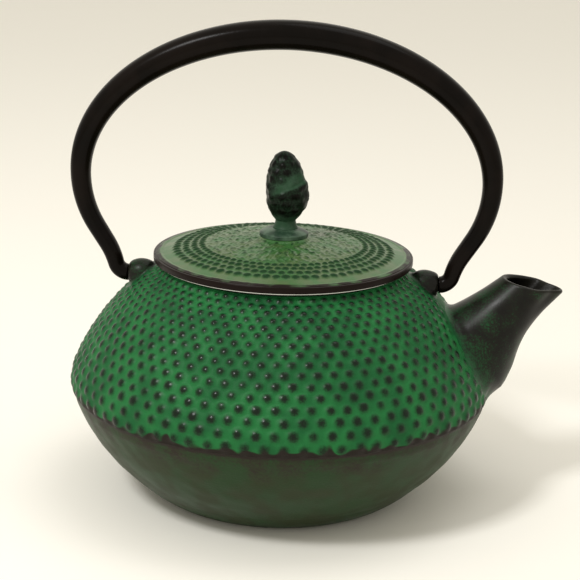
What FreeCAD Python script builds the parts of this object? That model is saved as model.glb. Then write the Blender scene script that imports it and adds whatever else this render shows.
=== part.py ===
"""Cast iron teapot with a swinging bail, a lift-off lid and a steel tea basket.

The pot stands on z = 0 with its axis on z. The spout points along +x and the
bail turns about an axis along x through the two ears. Lengths are in
millimetres and angles in degrees.
"""
import FreeCAD
import Part
import Sketcher
import os
import re

SIZES = {
    # Pot casting, outside
    "base_radius": 47.0,
    "heel_reach": 11.7,
    "heel_height": 8.4,
    "heel_curve": 38.0,
    "bowl_curve": 127.0,
    "seam_radius": 81.4,
    "seam_height": 41.7,
    "seam_step": 0.6,
    "belly_curve": 18.0,
    "belly_rise": 10.7,
    "belly_inset": 2.0,
    "shoulder_curve": 94.0,
    "mouth_height": 91.2,
    "mouth_radius": 41.5,
    "mouth_rim_width": 5.5,
    "mouth_rim_step": 0.9,
    # Pot casting, inside
    "pot_wall": 3.2,
    "pot_floor": 4.0,
    "mouth_rim_depth": 4.2,
    "mouth_land_width": 4.0,
    # Spout
    "spout_root_radius": 20.0,
    "spout_root_inset": 12.0,
    "spout_root_drop": 35.2,
    "spout_neck_radius": 9.8,
    "spout_reach": 19.1,
    "spout_rise_gap": 0.5,
    "spout_wall": 2.6,
    "spout_bore_root_radius": 14.0,
    "spout_mouth_reach": 15.0,
    "spout_mouth_drop": 5.1,
    "spout_mouth_tilt": 12.6,
    # Ears
    "hinge_drop": 7.2,
    "ear_root_reach": 8.7,
    "ear_reach": 4.3,
    "ear_length": 10.2,
    "ear_face_radius": 4.2,
    "ear_curve": 10.0,
    "ear_backing_radius": 5.2,
    "ear_backing_wall": 2.7,
    # Bail handle
    "peg_radius": 2.5,
    "peg_length": 5.0,
    "peg_clearance": 0.08,
    "peg_end_gap": 0.5,
    "ear_gap": 0.3,
    "bail_foot_thickness": 6.3,
    "bail_foot_depth": 6.8,
    "bail_side_thickness": 7.8,
    "bail_side_depth": 8.8,
    "bail_top_thickness": 11.2,
    "bail_top_depth": 12.6,
    "elbow_curve": 5.0,
    "leg_low_lean": 15.0,
    "leg_low_curve": 30.0,
    "leg_lean": 32.0,
    "leg_straight": 7.4,
    "leg_high_curve": 40.0,
    "bail_rise": 54.6,
    # Tea basket
    "basket_clearance": 0.6,
    "sheet_thickness": 0.6,
    "flange_overhang": 2.0,
    "collar_depth": 11.0,
    "crimp_clearance": 0.05,
    "crimp_height": 5.0,
    "mesh_thickness": 0.6,
    "basket_depth": 45.8,
    "basket_foot_radius": 36.0,
    "base_ring_lip": 4.0,
    "base_ring_width": 3.6,
    # Lid
    "lid_overhang": 3.0,
    "lid_rim_height": 2.7,
    "lid_rise": 5.0,
    "lid_curve": 252.0,
    "lid_thickness": 3.0,
    "lid_pad_radius": 10.2,
    "lid_pad_step": 0.2,
    "skirt_clearance": 2.0,
    "skirt_thickness": 2.0,
    "skirt_depth": 6.0,
    # Knob and its rivet
    "seat_radius": 9.4,
    "seat_edge": 0.7,
    "seat_height": 1.8,
    "seat_top_radius": 5.0,
    "seat_curve": 9.0,
    "shank_radius": 3.0,
    "shank_clearance": 0.1,
    "washer_radius": 7.0,
    "washer_thickness": 1.2,
    "rivet_radius": 4.8,
    "rivet_height": 1.8,
    "neck_radius": 4.4,
    "neck_waist_radius": 3.6,
    "neck_height": 6.0,
    "cone_radius": 7.2,
    "cone_belly_height": 11.4,
    "cone_low_curve": 12.0,
    "cone_top_height": 26.9,
    "cone_high_curve": 20.0,
    "cone_tip_radius": 1.2,
    "scale_radius": 2.4,
    "scale_sink": 1.3,
    "scales_in_tier": 6,
}

# Places that several pieces share, as formulas in the sizes above
BELLY_RADIUS = "(seam_radius + seam_step)"
RIM_RADIUS = "(mouth_radius + mouth_rim_width)"
LAND_RADIUS = "(mouth_radius + mouth_land_width)"
LAND_FOOT = "(mouth_height - mouth_rim_depth)"
HINGE_HEIGHT = "(mouth_height - hinge_drop)"
EAR_ROOT = f"({RIM_RADIUS} + ear_root_reach)"
EAR_FACE = f"({EAR_ROOT} + ear_reach)"
HOLE_DEPTH = "(peg_length + peg_end_gap)"
FLANGE_TOP = "(mouth_height + sheet_thickness)"
COLLAR_OUTER = "(mouth_radius - basket_clearance)"
COLLAR_INNER = f"({COLLAR_OUTER} - sheet_thickness)"
COLLAR_FOOT = "(mouth_height - collar_depth)"
BASKET_FLOOR = "(mouth_height - basket_depth)"
LID_RADIUS = f"({RIM_RADIUS} + lid_overhang)"
LID_EDGE_TOP = f"({FLANGE_TOP} + lid_rim_height)"
LID_TOP = f"({LID_EDGE_TOP} + lid_rise)"
LID_UNDER = f"({LID_TOP} - lid_thickness)"
SEAT_TOP = f"({LID_TOP} + seat_height)"
RIVET_HOLE = "(shank_radius + shank_clearance)"
WASHER_FOOT = f"({LID_UNDER} - washer_thickness)"

# Stations along the spout's straight axis, as shares of its length, each with
# its share of the flare between the neck and the root
SPOUT_STATIONS = ((-0.26, 0.7), (0.0, 1.0), (0.28, 0.59), (0.53, 0.22), (0.72, 0.055), (1.0, 0.0))
# Tiers of pine cone scales: share of the cone's height and share of its radius there
SCALE_TIERS = ((0.16, 0.84), (0.32, 0.99), (0.48, 1.0), (0.64, 0.87), (0.8, 0.66))
# Stations of the bail along each half of its arch, from the side to the top
ARCH_ANGLES = (18, 36, 54, 72, 90)

doc = FreeCAD.newDocument("cast_iron_teapot")
sheet = doc.addObject("Spreadsheet::Sheet", "Sizes")
for row, (alias, number) in enumerate(SIZES.items(), start=1):
    sheet.set(f"A{row}", alias)
    sheet.set(f"B{row}", str(number))
    sheet.setAlias(f"B{row}", alias)
doc.recompute()


def formula(text):
    """The text with each size's name pointing at its cell of the sheet."""
    def cell(match):
        word = match.group(0)
        return f"Sizes.{word}" if word in SIZES else word
    return re.sub(r"[a-z_]+[a-z0-9_]*", cell, text)


def measure(text):
    """The present value of a formula."""
    result = sheet.evalExpression(formula(text))
    return float(getattr(result, "Value", result))


def new_body(label):
    """An empty body that carries the piece's name."""
    body = doc.addObject("PartDesign::Body", label)
    body.Label = label
    return body


def origin_item(body, role):
    """One of the body's own origin planes or axes."""
    return next(item for item in body.Origin.OriginFeatures if item.Role == role)


def new_sketch(body, name, role):
    """An empty sketch on one of the body's origin planes."""
    sketch = body.newObject("Sketcher::SketchObject", name)
    sketch.AttachmentSupport = [(origin_item(body, role), "")]
    sketch.MapMode = "FlatFace"
    return sketch


def bind(sketch, constraint, text):
    """Add a dimension that follows a formula."""
    index = sketch.addConstraint(constraint)
    sketch.setExpression(f"Constraints[{index}]", formula(text))


def round_stretch(first, second, radius):
    """An arc that bulges to the right of the way from first to second.

    A negative radius bulges to the left. Returns the arc and the numbers of
    its two ends in travelling order.
    """
    chord = second - first
    side = FreeCAD.Vector(-chord.y, chord.x, 0).normalize()
    reach = (radius * radius - chord.Length * chord.Length / 4) ** 0.5
    centre = (first + second) * 0.5 + side * (reach if radius > 0 else -reach)
    start, finish = (first, second) if radius > 0 else (second, first)
    circle = Part.Circle(centre, FreeCAD.Vector(0, 0, 1), abs(radius))
    arc = Part.ArcOfCircle(circle, circle.parameter(start), circle.parameter(finish))
    return arc, ((1, 2) if radius > 0 else (2, 1))


def outline(body, name, role, corners, lift="0"):
    """A closed outline on an upright origin plane, with its zero lifted to a height.

    Each corner is (across, up) in formulas, or (across, up, curve) where the
    stretch to the next corner is round: curve is its radius, with a minus
    sign in front where it bulges to the left.
    """
    sketch = new_sketch(body, name, role)
    sketch.setExpression("AttachmentOffset.Base.y", formula(lift))
    points = [FreeCAD.Vector(measure(corner[0]), measure(corner[1]), 0) for corner in corners]
    ends = []
    for index, corner in enumerate(corners):
        first, second = points[index], points[(index + 1) % len(points)]
        if len(corner) == 2:
            sketch.addGeometry(Part.LineSegment(first, second))
            ends.append((1, 2))
        else:
            arc, order = round_stretch(first, second, measure(corner[2]))
            sketch.addGeometry(arc)
            ends.append(order)
    for index in range(len(corners)):
        following = (index + 1) % len(corners)
        joint = (index, ends[index][1], following, ends[following][0])
        sketch.addConstraint(Sketcher.Constraint("Coincident", *joint))
    for index, corner in enumerate(corners):
        start = (index, ends[index][0])
        for kind, axis, text, place in (
            ("DistanceX", -2, corner[0], points[index].x),
            ("DistanceY", -1, corner[1], points[index].y),
        ):
            if text == "0":
                sketch.addConstraint(Sketcher.Constraint("PointOnObject", *start, axis))
            else:
                bind(sketch, Sketcher.Constraint(kind, -1, 1, *start, place), text)
        if len(corner) == 3:
            radius = abs(measure(corner[2]))
            bind(sketch, Sketcher.Constraint("Radius", index, radius), corner[2].lstrip("-"))
    return sketch


def turned_about(body, kind, name, sketch, axis):
    """Turn a sketch about one of its own axes, as a Revolution or a Groove."""
    feature = body.newObject(f"PartDesign::{kind}", name)
    feature.Profile = sketch
    feature.ReferenceAxis = (sketch, [axis])
    feature.Angle = 360
    return feature


def turned(body, kind, name, corners):
    """Turn an outline in the xz plane about the z axis."""
    sketch = outline(body, name + "_profile", "XZ_Plane", corners)
    return turned_about(body, kind, name, sketch, "V_Axis")


def turned_piece(label, corners):
    """A piece that is one turned outline."""
    body = new_body(label)
    turned(body, "Revolution", label + "_turned", corners)
    return body


def cross_section(body, name, across, up, lean, radius, depth=None):
    """A round or oval section square to a path in the xz plane.

    The path passes (across, up), leaning from z towards x. radius is the
    section's half size in the xz plane and depth, for an oval, along y.
    """
    sketch = new_sketch(body, name, "XY_Plane")
    turn = FreeCAD.Rotation(FreeCAD.Vector(0, 1, 0), 1)
    sketch.AttachmentOffset = FreeCAD.Placement(FreeCAD.Vector(), turn)
    sketch.setExpression("AttachmentOffset.Base.x", formula(across))
    sketch.setExpression("AttachmentOffset.Base.z", formula(up))
    sketch.setExpression("AttachmentOffset.Rotation.Angle", formula(lean))
    centre = FreeCAD.Vector()
    if depth is None:
        circle = Part.Circle(centre, FreeCAD.Vector(0, 0, 1), measure(radius))
        ring = sketch.addGeometry(circle)
        bind(sketch, Sketcher.Constraint("Radius", ring, measure(radius)), radius)
    else:
        far = FreeCAD.Vector(0, measure(depth), 0)
        near = FreeCAD.Vector(measure(radius), 0, 0)
        ring = sketch.addGeometry(Part.Ellipse(far, near, centre))
        sketch.exposeInternalGeometry(ring)
        long_axis, short_axis = ring + 1, ring + 2
        sketch.addConstraint(Sketcher.Constraint("Vertical", long_axis))
        bind(sketch, Sketcher.Constraint("Distance", long_axis, 2 * far.y), f"2 * ({depth})")
        bind(sketch, Sketcher.Constraint("Distance", short_axis, 2 * near.x), f"2 * ({radius})")
    sketch.addConstraint(Sketcher.Constraint("Coincident", ring, 3, -1, 1))
    return sketch


def lofted(body, kind, name, sections):
    """Join sections by an AdditiveLoft or a SubtractiveLoft."""
    feature = body.newObject(f"PartDesign::{kind}", name)
    feature.Profile = sections[0]
    feature.Sections = sections[1:]
    return feature


def mirrored(body, name, features):
    """Repeat features on the other side of the yz plane."""
    feature = body.newObject("PartDesign::Mirrored", name)
    feature.Originals = features
    feature.MirrorPlane = (origin_item(body, "YZ_Plane"), [""])
    body.Tip = feature
    return feature


def hinge_disc(body, name, across, radius):
    """A circle about the hinge axis, on a plane square to that axis."""
    sketch = new_sketch(body, name, "YZ_Plane")
    sketch.setExpression("AttachmentOffset.Base.z", formula(across))
    centre = FreeCAD.Vector(0, measure(HINGE_HEIGHT), 0)
    ring = sketch.addGeometry(Part.Circle(centre, FreeCAD.Vector(0, 0, 1), measure(radius)))
    sketch.addConstraint(Sketcher.Constraint("PointOnObject", ring, 3, -2))
    bind(sketch, Sketcher.Constraint("DistanceY", -1, 1, ring, 3, centre.y), HINGE_HEIGHT)
    bind(sketch, Sketcher.Constraint("Radius", ring, measure(radius)), radius)
    return sketch


def pushed(body, kind, name, sketch, length, reverse=False):
    """Pad or pocket a sketch by a length."""
    feature = body.newObject(f"PartDesign::{kind}", name)
    feature.Profile = sketch
    feature.Reversed = reverse
    feature.setExpression("Length", formula(length))
    return feature


def inner_corner(radius, height, lean):
    """A corner of the pot moved in by its wall, where the wall faces up by lean."""
    return f"{radius} - pot_wall * cos({lean})", f"{height} - pot_wall * sin({lean})"


# Pot casting: bowl and shoulder turned in one, then ears, hollow and spout
BELLY_TOP = (f"({BELLY_RADIUS} - belly_inset)", "(seam_height + belly_rise)")
HEEL = ("(base_radius + heel_reach)", "heel_height")
# Degrees above level that the pot's wall faces at the corners of its hollow
HEEL_LEAN, SEAM_LEAN, BELLY_LEAN, SHOULDER_LEAN = -44, -30, 26, 44


def spout_sections(body, name, neck, root_radius):
    """Circles along the spout's axis, from its root to the radius of its neck."""
    root = (f"({BELLY_RADIUS} - spout_root_inset)", "(mouth_height - spout_root_drop)")
    run = "(spout_root_inset + spout_reach)"
    climb = "(spout_root_drop - spout_rise_gap)"
    lean = f"atan2({run}, {climb})"
    sections = []
    for number, (share, flare) in enumerate(SPOUT_STATIONS):
        across = f"{root[0]} + {share} * {run}"
        up = f"{root[1]} + {share} * {climb}"
        radius = f"{neck} + {flare} * ({root_radius} - {neck})"
        sections.append(cross_section(body, f"{name}_{number}", across, up, lean, radius))
    return sections


def spout_mouth_cut(body):
    """Cut the spout off along the tilted plane of its mouth."""
    centre = (f"({BELLY_RADIUS} + spout_mouth_reach)", "(mouth_height - spout_mouth_drop)")
    half = "2 * spout_neck_radius"
    back = f"{centre[0]} - {half} * cos(spout_mouth_tilt)"
    front = f"{centre[0]} + {half} * cos(spout_mouth_tilt)"
    back_height = f"{centre[1]} + {half} * sin(spout_mouth_tilt)"
    front_height = f"{centre[1]} - {half} * sin(spout_mouth_tilt)"
    top = f"{centre[1]} + {half}"
    corners = [(back, back_height), (front, front_height), (front, top), (back, top)]
    sketch = outline(body, "spout_mouth_side", "XZ_Plane", corners)
    cut = pushed(body, "Pocket", "spout_mouth", sketch, "4 * spout_neck_radius")
    cut.Midplane = True
    return cut


def make_pot():
    """Bowl, shoulder, spout and ears in one, and the land round the mouth as a plain ring."""
    body = new_body("pot_body")
    ear_root = (EAR_ROOT, HINGE_HEIGHT)
    turned(body, "Revolution", "pot_outside", [
        ("0", "0"),
        ("base_radius", "0", "heel_curve"),
        (*HEEL, "bowl_curve"),
        ("seam_radius", "seam_height"),
        (BELLY_RADIUS, "seam_height", "belly_curve"),
        (*BELLY_TOP, "shoulder_curve"),
        (*ear_root, "shoulder_curve"),
        (RIM_RADIUS, "mouth_height - mouth_rim_step"),
        (RIM_RADIUS, "mouth_height"),
        ("0", "mouth_height"),
    ])
    sections = spout_sections(body, "spout_section", "spout_neck_radius", "spout_root_radius")
    lofted(body, "AdditiveLoft", "spout", sections)

    ear_back = f"{EAR_FACE} - ear_length"
    ear_side = outline(body, "ear_side", "XZ_Plane", [
        (ear_back, "0"),
        (EAR_FACE, "0"),
        (EAR_FACE, "ear_face_radius", "ear_curve"),
        (ear_back, "ear_face_radius"),
    ], HINGE_HEIGHT)
    ear = turned_about(body, "Revolution", "ear", ear_side, "H_Axis")
    mirrored(body, "ears", [ear])

    turned(body, "Groove", "pot_hollow", [
        ("0", "pot_floor"),
        ("base_radius", "pot_floor", "heel_curve - pot_wall"),
        (*inner_corner(*HEEL, HEEL_LEAN), "bowl_curve - pot_wall"),
        (*inner_corner("seam_radius", "seam_height", SEAM_LEAN), "belly_curve - pot_wall"),
        (*inner_corner(*BELLY_TOP, BELLY_LEAN), "shoulder_curve - pot_wall"),
        (*inner_corner(*ear_root, SHOULDER_LEAN), "shoulder_curve - pot_wall"),
        (LAND_RADIUS, LAND_FOOT),
        (LAND_RADIUS, "mouth_height + mouth_rim_step"),
        ("0", "mouth_height + mouth_rim_step"),
    ])
    bore_neck = "(spout_neck_radius - spout_wall)"
    sections = spout_sections(body, "bore_section", bore_neck, "spout_bore_root_radius")
    lofted(body, "SubtractiveLoft", "spout_bore", sections)
    spout_mouth_cut(body)

    backing_start = f"{EAR_FACE} - {HOLE_DEPTH} - ear_backing_wall"
    disc = hinge_disc(body, "ear_backing_disc", backing_start, "ear_backing_radius")
    backing = pushed(body, "Pad", "ear_backing", disc, f"{HOLE_DEPTH} + ear_backing_wall - ear_reach")
    mirrored(body, "ear_backings", [backing])
    disc = hinge_disc(body, "ear_hole_disc", EAR_FACE, "peg_radius + peg_clearance")
    hole = pushed(body, "Pocket", "ear_hole", disc, HOLE_DEPTH)
    mirrored(body, "ear_holes", [hole])

    land = turned_piece("mouth_land", [
        ("mouth_radius", LAND_FOOT),
        (LAND_RADIUS, LAND_FOOT),
        (LAND_RADIUS, "mouth_height"),
        ("mouth_radius", "mouth_height"),
    ])
    return [body, land]


def make_bail_handle():
    """The bail: each half rises from a peg through an elbow and a leaning leg to an arch."""
    body = new_body("bail_handle")
    foot_face = f"({EAR_FACE} + ear_gap)"
    low_x = f"({foot_face} + elbow_curve * cos(leg_low_lean))"
    low_z = f"({HINGE_HEIGHT} + elbow_curve * (1 - sin(leg_low_lean)))"
    bend_x = f"({low_x} + leg_low_curve * (cos(leg_low_lean) - cos(leg_lean)))"
    bend_z = f"({low_z} + leg_low_curve * (sin(leg_lean) - sin(leg_low_lean)))"
    high_x = f"({bend_x} + leg_straight * sin(leg_lean))"
    high_z = f"({bend_z} + leg_straight * cos(leg_lean))"
    span = f"({high_x} + leg_high_curve * (1 - cos(leg_lean)))"
    arch_z = f"({high_z} + leg_high_curve * sin(leg_lean))"

    # Each station: place, lean and share of the way from foot size to side size
    elbow_lean = "(90 + leg_low_lean) / 2"
    half_lean = "leg_lean / 2"
    stations = [
        (foot_face, HINGE_HEIGHT, "90", 0.0),
        (f"{foot_face} + elbow_curve * cos({elbow_lean})",
         f"{HINGE_HEIGHT} + elbow_curve * (1 - sin({elbow_lean}))", elbow_lean, 0.0),
        (low_x, low_z, "leg_low_lean", 0.05),
        (bend_x, bend_z, "leg_lean", 0.25),
        (high_x, high_z, "leg_lean", 0.45),
        (f"{high_x} + leg_high_curve * (cos({half_lean}) - cos(leg_lean))",
         f"{high_z} + leg_high_curve * (sin(leg_lean) - sin({half_lean}))", half_lean, 0.7),
        (span, arch_z, "0", 1.0),
    ]
    sections = []
    for number, (across, up, lean, share) in enumerate(stations):
        radius = f"(bail_foot_thickness + {share} * (bail_side_thickness - bail_foot_thickness)) / 2"
        depth = f"(bail_foot_depth + {share} * (bail_side_depth - bail_foot_depth)) / 2"
        sections.append(cross_section(body, f"leg_section_{number}", across, up, lean, radius, depth))
    for angle in ARCH_ANGLES:
        across = f"{span} * cos({angle})"
        up = f"{arch_z} + bail_rise * sin({angle})"
        lean = f"-atan2({span} * sin({angle}), bail_rise * cos({angle}))"
        grow = f"sin({angle})"
        radius = f"(bail_side_thickness + {grow} * (bail_top_thickness - bail_side_thickness)) / 2"
        depth = f"(bail_side_depth + {grow} * (bail_top_depth - bail_side_depth)) / 2"
        sections.append(cross_section(body, f"arch_section_{angle}", across, up, lean, radius, depth))
    half = lofted(body, "AdditiveLoft", "half_bail", sections[::-1])
    disc = hinge_disc(body, "peg_disc", foot_face, "peg_radius")
    peg = pushed(body, "Pad", "peg", disc, "ear_gap + peg_length", reverse=True)
    mirrored(body, "whole_bail", [half, peg])
    return body


def make_tea_basket():
    """Pressed rim, woven sleeve, woven floor and the ring that clamps them."""
    wall_top = f"({COLLAR_INNER} - crimp_clearance)"
    taper = f"(({wall_top} - basket_foot_radius) / ({COLLAR_FOOT} - {BASKET_FLOOR}))"
    sleeve_top = f"{COLLAR_FOOT} + crimp_height"
    lip_inner = "(basket_foot_radius + crimp_clearance)"
    lip_top = f"{BASKET_FLOOR} + base_ring_lip"
    ring_under = f"{BASKET_FLOOR} - sheet_thickness"
    rim = turned_piece("infuser_rim", [
        (COLLAR_INNER, COLLAR_FOOT),
        (COLLAR_OUTER, COLLAR_FOOT),
        (COLLAR_OUTER, "mouth_height"),
        (f"{RIM_RADIUS} + flange_overhang", "mouth_height"),
        (f"{RIM_RADIUS} + flange_overhang", FLANGE_TOP),
        (COLLAR_INNER, FLANGE_TOP),
    ])
    wall = turned_piece("infuser_wall", [
        ("basket_foot_radius - mesh_thickness", BASKET_FLOOR),
        ("basket_foot_radius", BASKET_FLOOR),
        (wall_top, COLLAR_FOOT),
        (wall_top, sleeve_top),
        (f"{wall_top} - mesh_thickness", sleeve_top),
        (f"{wall_top} - mesh_thickness", COLLAR_FOOT),
    ])
    floor_radius = "basket_foot_radius - mesh_thickness - crimp_clearance"
    floor = turned_piece("infuser_base", [
        ("0", BASKET_FLOOR),
        (floor_radius, BASKET_FLOOR),
        (floor_radius, f"{BASKET_FLOOR} + mesh_thickness"),
        ("0", f"{BASKET_FLOOR} + mesh_thickness"),
    ])
    lip_lean = f"base_ring_lip * {taper}"
    ring = turned_piece("infuser_base_ring", [
        ("basket_foot_radius - base_ring_width", ring_under),
        (f"{lip_inner} + sheet_thickness", ring_under),
        (f"{lip_inner} + sheet_thickness", BASKET_FLOOR),
        (f"{lip_inner} + sheet_thickness + {lip_lean}", lip_top),
        (f"{lip_inner} + {lip_lean}", lip_top),
        (lip_inner, BASKET_FLOOR),
        ("basket_foot_radius - base_ring_width", BASKET_FLOOR),
    ])
    return [rim, wall, floor, ring]


def make_lid():
    """Domed disc with a flat pad for the knob, and the skirt that finds the basket's collar."""
    skirt_outer = f"({COLLAR_INNER} - skirt_clearance)"
    skirt_inner = f"({skirt_outer} - skirt_thickness)"
    skirt_foot = f"{FLANGE_TOP} - skirt_depth"
    dome_sag = f"{skirt_inner} * {skirt_inner} / (2 * lid_curve)"
    lid = turned_piece("lid", [
        (RIVET_HOLE, LID_UNDER),
        ("lid_pad_radius", LID_UNDER, "-lid_curve"),
        (skirt_inner, f"{LID_UNDER} - {dome_sag}"),
        (skirt_inner, FLANGE_TOP),
        (LID_RADIUS, FLANGE_TOP),
        (LID_RADIUS, LID_EDGE_TOP, "lid_curve"),
        ("lid_pad_radius", f"{LID_TOP} - lid_pad_step"),
        ("lid_pad_radius", LID_TOP),
        (RIVET_HOLE, LID_TOP),
    ])
    skirt = turned_piece("lid_skirt", [
        (skirt_inner, skirt_foot),
        (skirt_outer, skirt_foot),
        (skirt_outer, FLANGE_TOP),
        (skirt_inner, FLANGE_TOP),
    ])
    return [lid, skirt]


def make_knob():
    """Pine cone knob on its shank, its seat above the lid and its washer below."""
    seat = turned_piece("knob_seat", [
        (RIVET_HOLE, LID_TOP),
        ("seat_radius", LID_TOP),
        ("seat_radius", f"{LID_TOP} + seat_edge", "seat_curve"),
        ("seat_top_radius", SEAT_TOP),
        (RIVET_HOLE, SEAT_TOP),
    ])
    washer = turned_piece("knob_washer", [
        (RIVET_HOLE, WASHER_FOOT),
        ("washer_radius", WASHER_FOOT),
        ("washer_radius", LID_UNDER),
        (RIVET_HOLE, LID_UNDER),
    ])
    cone_foot = f"({SEAT_TOP} + neck_height)"
    knob = turned_piece("knob", [
        ("0", f"{WASHER_FOOT} - rivet_height"),
        ("rivet_radius / 2", f"{WASHER_FOOT} - rivet_height"),
        ("rivet_radius", WASHER_FOOT),
        ("shank_radius", WASHER_FOOT),
        ("shank_radius", SEAT_TOP),
        ("neck_radius", SEAT_TOP),
        ("neck_waist_radius", cone_foot, "cone_low_curve"),
        ("cone_radius", f"{cone_foot} + cone_belly_height", "cone_high_curve"),
        ("cone_tip_radius", f"{cone_foot} + cone_top_height"),
        ("0", f"{cone_foot} + cone_top_height"),
    ])
    for number, (height, radius) in enumerate(SCALE_TIERS):
        turn = f"{number % 2} * 180 / scales_in_tier"
        scale = knob.newObject("PartDesign::AdditiveSphere", f"scale_{number}")
        scale.setExpression("Radius", formula("scale_radius"))
        reach = f"({radius} * cone_radius - scale_sink)"
        for axis, place in (
            ("x", f"{reach} * cos({turn})"),
            ("y", f"{reach} * sin({turn})"),
            ("z", f"{cone_foot} + {height} * cone_top_height"),
        ):
            scale.setExpression(f"Placement.Base.{axis}", formula(place))
        tier = knob.newObject("PartDesign::PolarPattern", f"tier_{number}")
        tier.Originals = [scale]
        tier.Axis = (origin_item(knob, "Z_Axis"), [""])
        tier.Angle = 360
        tier.setExpression("Occurrences", formula("scales_in_tier"))
        knob.Tip = tier
    return [seat, washer, knob]


def export(pieces):
    """Check every object and solid, then write one file for each piece."""
    doc.recompute()
    for item in doc.Objects:
        if "Invalid" in item.State or "Error" in item.State:
            raise RuntimeError(f"{item.Label} failed: {item.State}")
    os.makedirs("parts", exist_ok=True)
    for piece in pieces:
        shape = piece.Shape
        if shape.isNull() or not shape.isValid() or len(shape.Solids) != 1:
            raise RuntimeError(f"{piece.Label} isn't one valid solid")
        box = shape.optimalBoundingBox()
        print(f"{piece.Label}: {shape.Volume / 1000:.2f} cm3, {box.XLength:.1f} x "
              f"{box.YLength:.1f} x {box.ZLength:.1f} mm")
        shape.exportStep(f"parts/{piece.Label}.step")


pot = make_pot()
bail = make_bail_handle()
export([*pot, bail, *make_tea_basket(), *make_lid(), *make_knob()])
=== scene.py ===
"""Looks of a cast iron teapot with a bail handle, a lid and a steel tea basket.

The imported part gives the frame: the pot stands on z = 0 with its axis on z, the
spout points along +x and the bail turns about an axis along x. Sizes are written
in millimetres and become metres when a mesh is made.
"""
import logging
import math
from dataclasses import dataclass, field
from enum import Enum

import bpy
import numpy as np
from mathutils import Matrix


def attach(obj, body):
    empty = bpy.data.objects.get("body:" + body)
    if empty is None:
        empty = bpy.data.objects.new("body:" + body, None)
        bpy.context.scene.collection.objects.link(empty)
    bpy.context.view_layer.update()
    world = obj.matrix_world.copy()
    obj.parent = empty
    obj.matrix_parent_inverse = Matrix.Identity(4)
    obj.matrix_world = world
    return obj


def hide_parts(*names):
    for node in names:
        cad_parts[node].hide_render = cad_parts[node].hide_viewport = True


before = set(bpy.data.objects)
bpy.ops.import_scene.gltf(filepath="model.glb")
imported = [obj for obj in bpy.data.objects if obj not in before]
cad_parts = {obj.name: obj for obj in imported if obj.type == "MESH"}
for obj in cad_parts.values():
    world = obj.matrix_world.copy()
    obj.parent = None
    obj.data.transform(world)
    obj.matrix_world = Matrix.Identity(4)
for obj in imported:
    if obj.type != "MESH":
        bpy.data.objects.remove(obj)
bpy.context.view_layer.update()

LOG = logging.getLogger("teapot")
MM = 0.001
# A length too small to matter
TINY = 1e-6
# Heights that several pieces share: the bail's hinge and the rim of the pot's mouth
HINGE_HEIGHT = 84.0
MOUTH_HEIGHT = 91.2
# Points on a rounded corner, and how many of them come before its middle
CORNER_STEPS = 5
HALF_CORNER = CORNER_STEPS // 2
# Sockets of Blender's Mix node: the factor, two numbers, two colours and the mixed colour
FACTOR = 0
NUMBER_A = 2
NUMBER_B = 3
COLOUR_A = 6
COLOUR_B = 7
MIXED_COLOUR = 2

# Two numbers that go together, such as the ends of a span or a point's radius and height
Pair = tuple[float, float]
Point = tuple[float, float, float]
Socket = bpy.types.NodeSocket


class Body(Enum):
    """Bodies of the frame that pieces ride on."""

    POT = "pot"
    BAIL = "bail"
    BASKET = "infuser"
    LID = "lid"


def linear(colour: str) -> tuple[float, float, float, float]:
    """Turn an sRGB hex colour into linear light.

    Args:
        colour: six hex digits after a hash sign.

    Returns:
        Red, green, blue and an alpha of one.
    """
    parts = np.array([int(colour[i:i + 2], 16) for i in (1, 3, 5)]) / 255
    light = np.where(parts <= 0.04045, parts / 12.92, ((parts + 0.055) / 1.055) ** 2.4)
    return (*light.tolist(), 1.0)


def add_node(tree: bpy.types.NodeTree, kind: str, inputs: dict | None = None,
             **settings: object) -> bpy.types.Node:
    """Add one node with its settings, values and links.

    Args:
        tree: node tree that gets the node.
        kind: Blender's name of the node's type.
        inputs: socket name or number, with a value or the output to link to it.
        settings: properties of the node.

    Returns:
        The new node.
    """
    node = tree.nodes.new(kind)
    for name, value in settings.items():
        setattr(node, name, value)
    for name, value in (inputs or {}).items():
        if isinstance(value, Socket):
            tree.links.new(value, node.inputs[name])
        else:
            node.inputs[name].default_value = value
    return node


def smooth_step(low: float, high: float, value: np.ndarray) -> np.ndarray:
    """Ease from 0 at low to 1 at high along 3x^2 - 2x^3."""
    x = np.clip((value - low) / (high - low), 0, 1)
    return x * x * (3 - 2 * x)


def ripple(points: np.ndarray, width: float, seed: int, waves: int = 12) -> np.ndarray:
    """Soft unevenness of a casting: the mean of sine waves in seeded directions.

    Args:
        points: places, with x, y and z on the last axis.
        width: length of one wave in millimetres.
        seed: picks the directions, lengths and phases.
        waves: how many waves are added.

    Returns:
        A value near -1 to 1 for each point.
    """
    slowest, fastest, peak = 0.7, 1.4, 1.5
    chance = np.random.default_rng(seed)
    ways = chance.normal(size=(3, waves))
    ways *= chance.uniform(slowest, fastest, waves) / np.linalg.norm(ways, axis=0)
    phases = chance.uniform(0, 2 * np.pi, waves)
    return np.sin(points @ ways * (2 * np.pi / width) + phases).mean(-1) * math.sqrt(waves) / peak


def scatter(first: np.ndarray, second: np.ndarray) -> np.ndarray:
    """A fixed number from 0 to 1 for each pair of whole numbers, as chance would give.

    It is what stands after the point in a large multiple of a sine of the two.

    Args:
        first: whole numbers.
        second: whole numbers that go with them.

    Returns:
        One number for each pair.
    """
    first_factor, second_factor, multiple = 12.9898, 78.233, 43758.5453
    return np.mod(np.sin(first * first_factor + second * second_factor) * multiple, 1.0)


def angles(count: int) -> np.ndarray:
    """Even steps of a full turn, from 0."""
    return np.arange(count) * 2 * np.pi / count


def unit(vectors: np.ndarray) -> np.ndarray:
    """Vectors over their own lengths."""
    return vectors / np.linalg.norm(vectors, axis=-1, keepdims=True)


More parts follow.
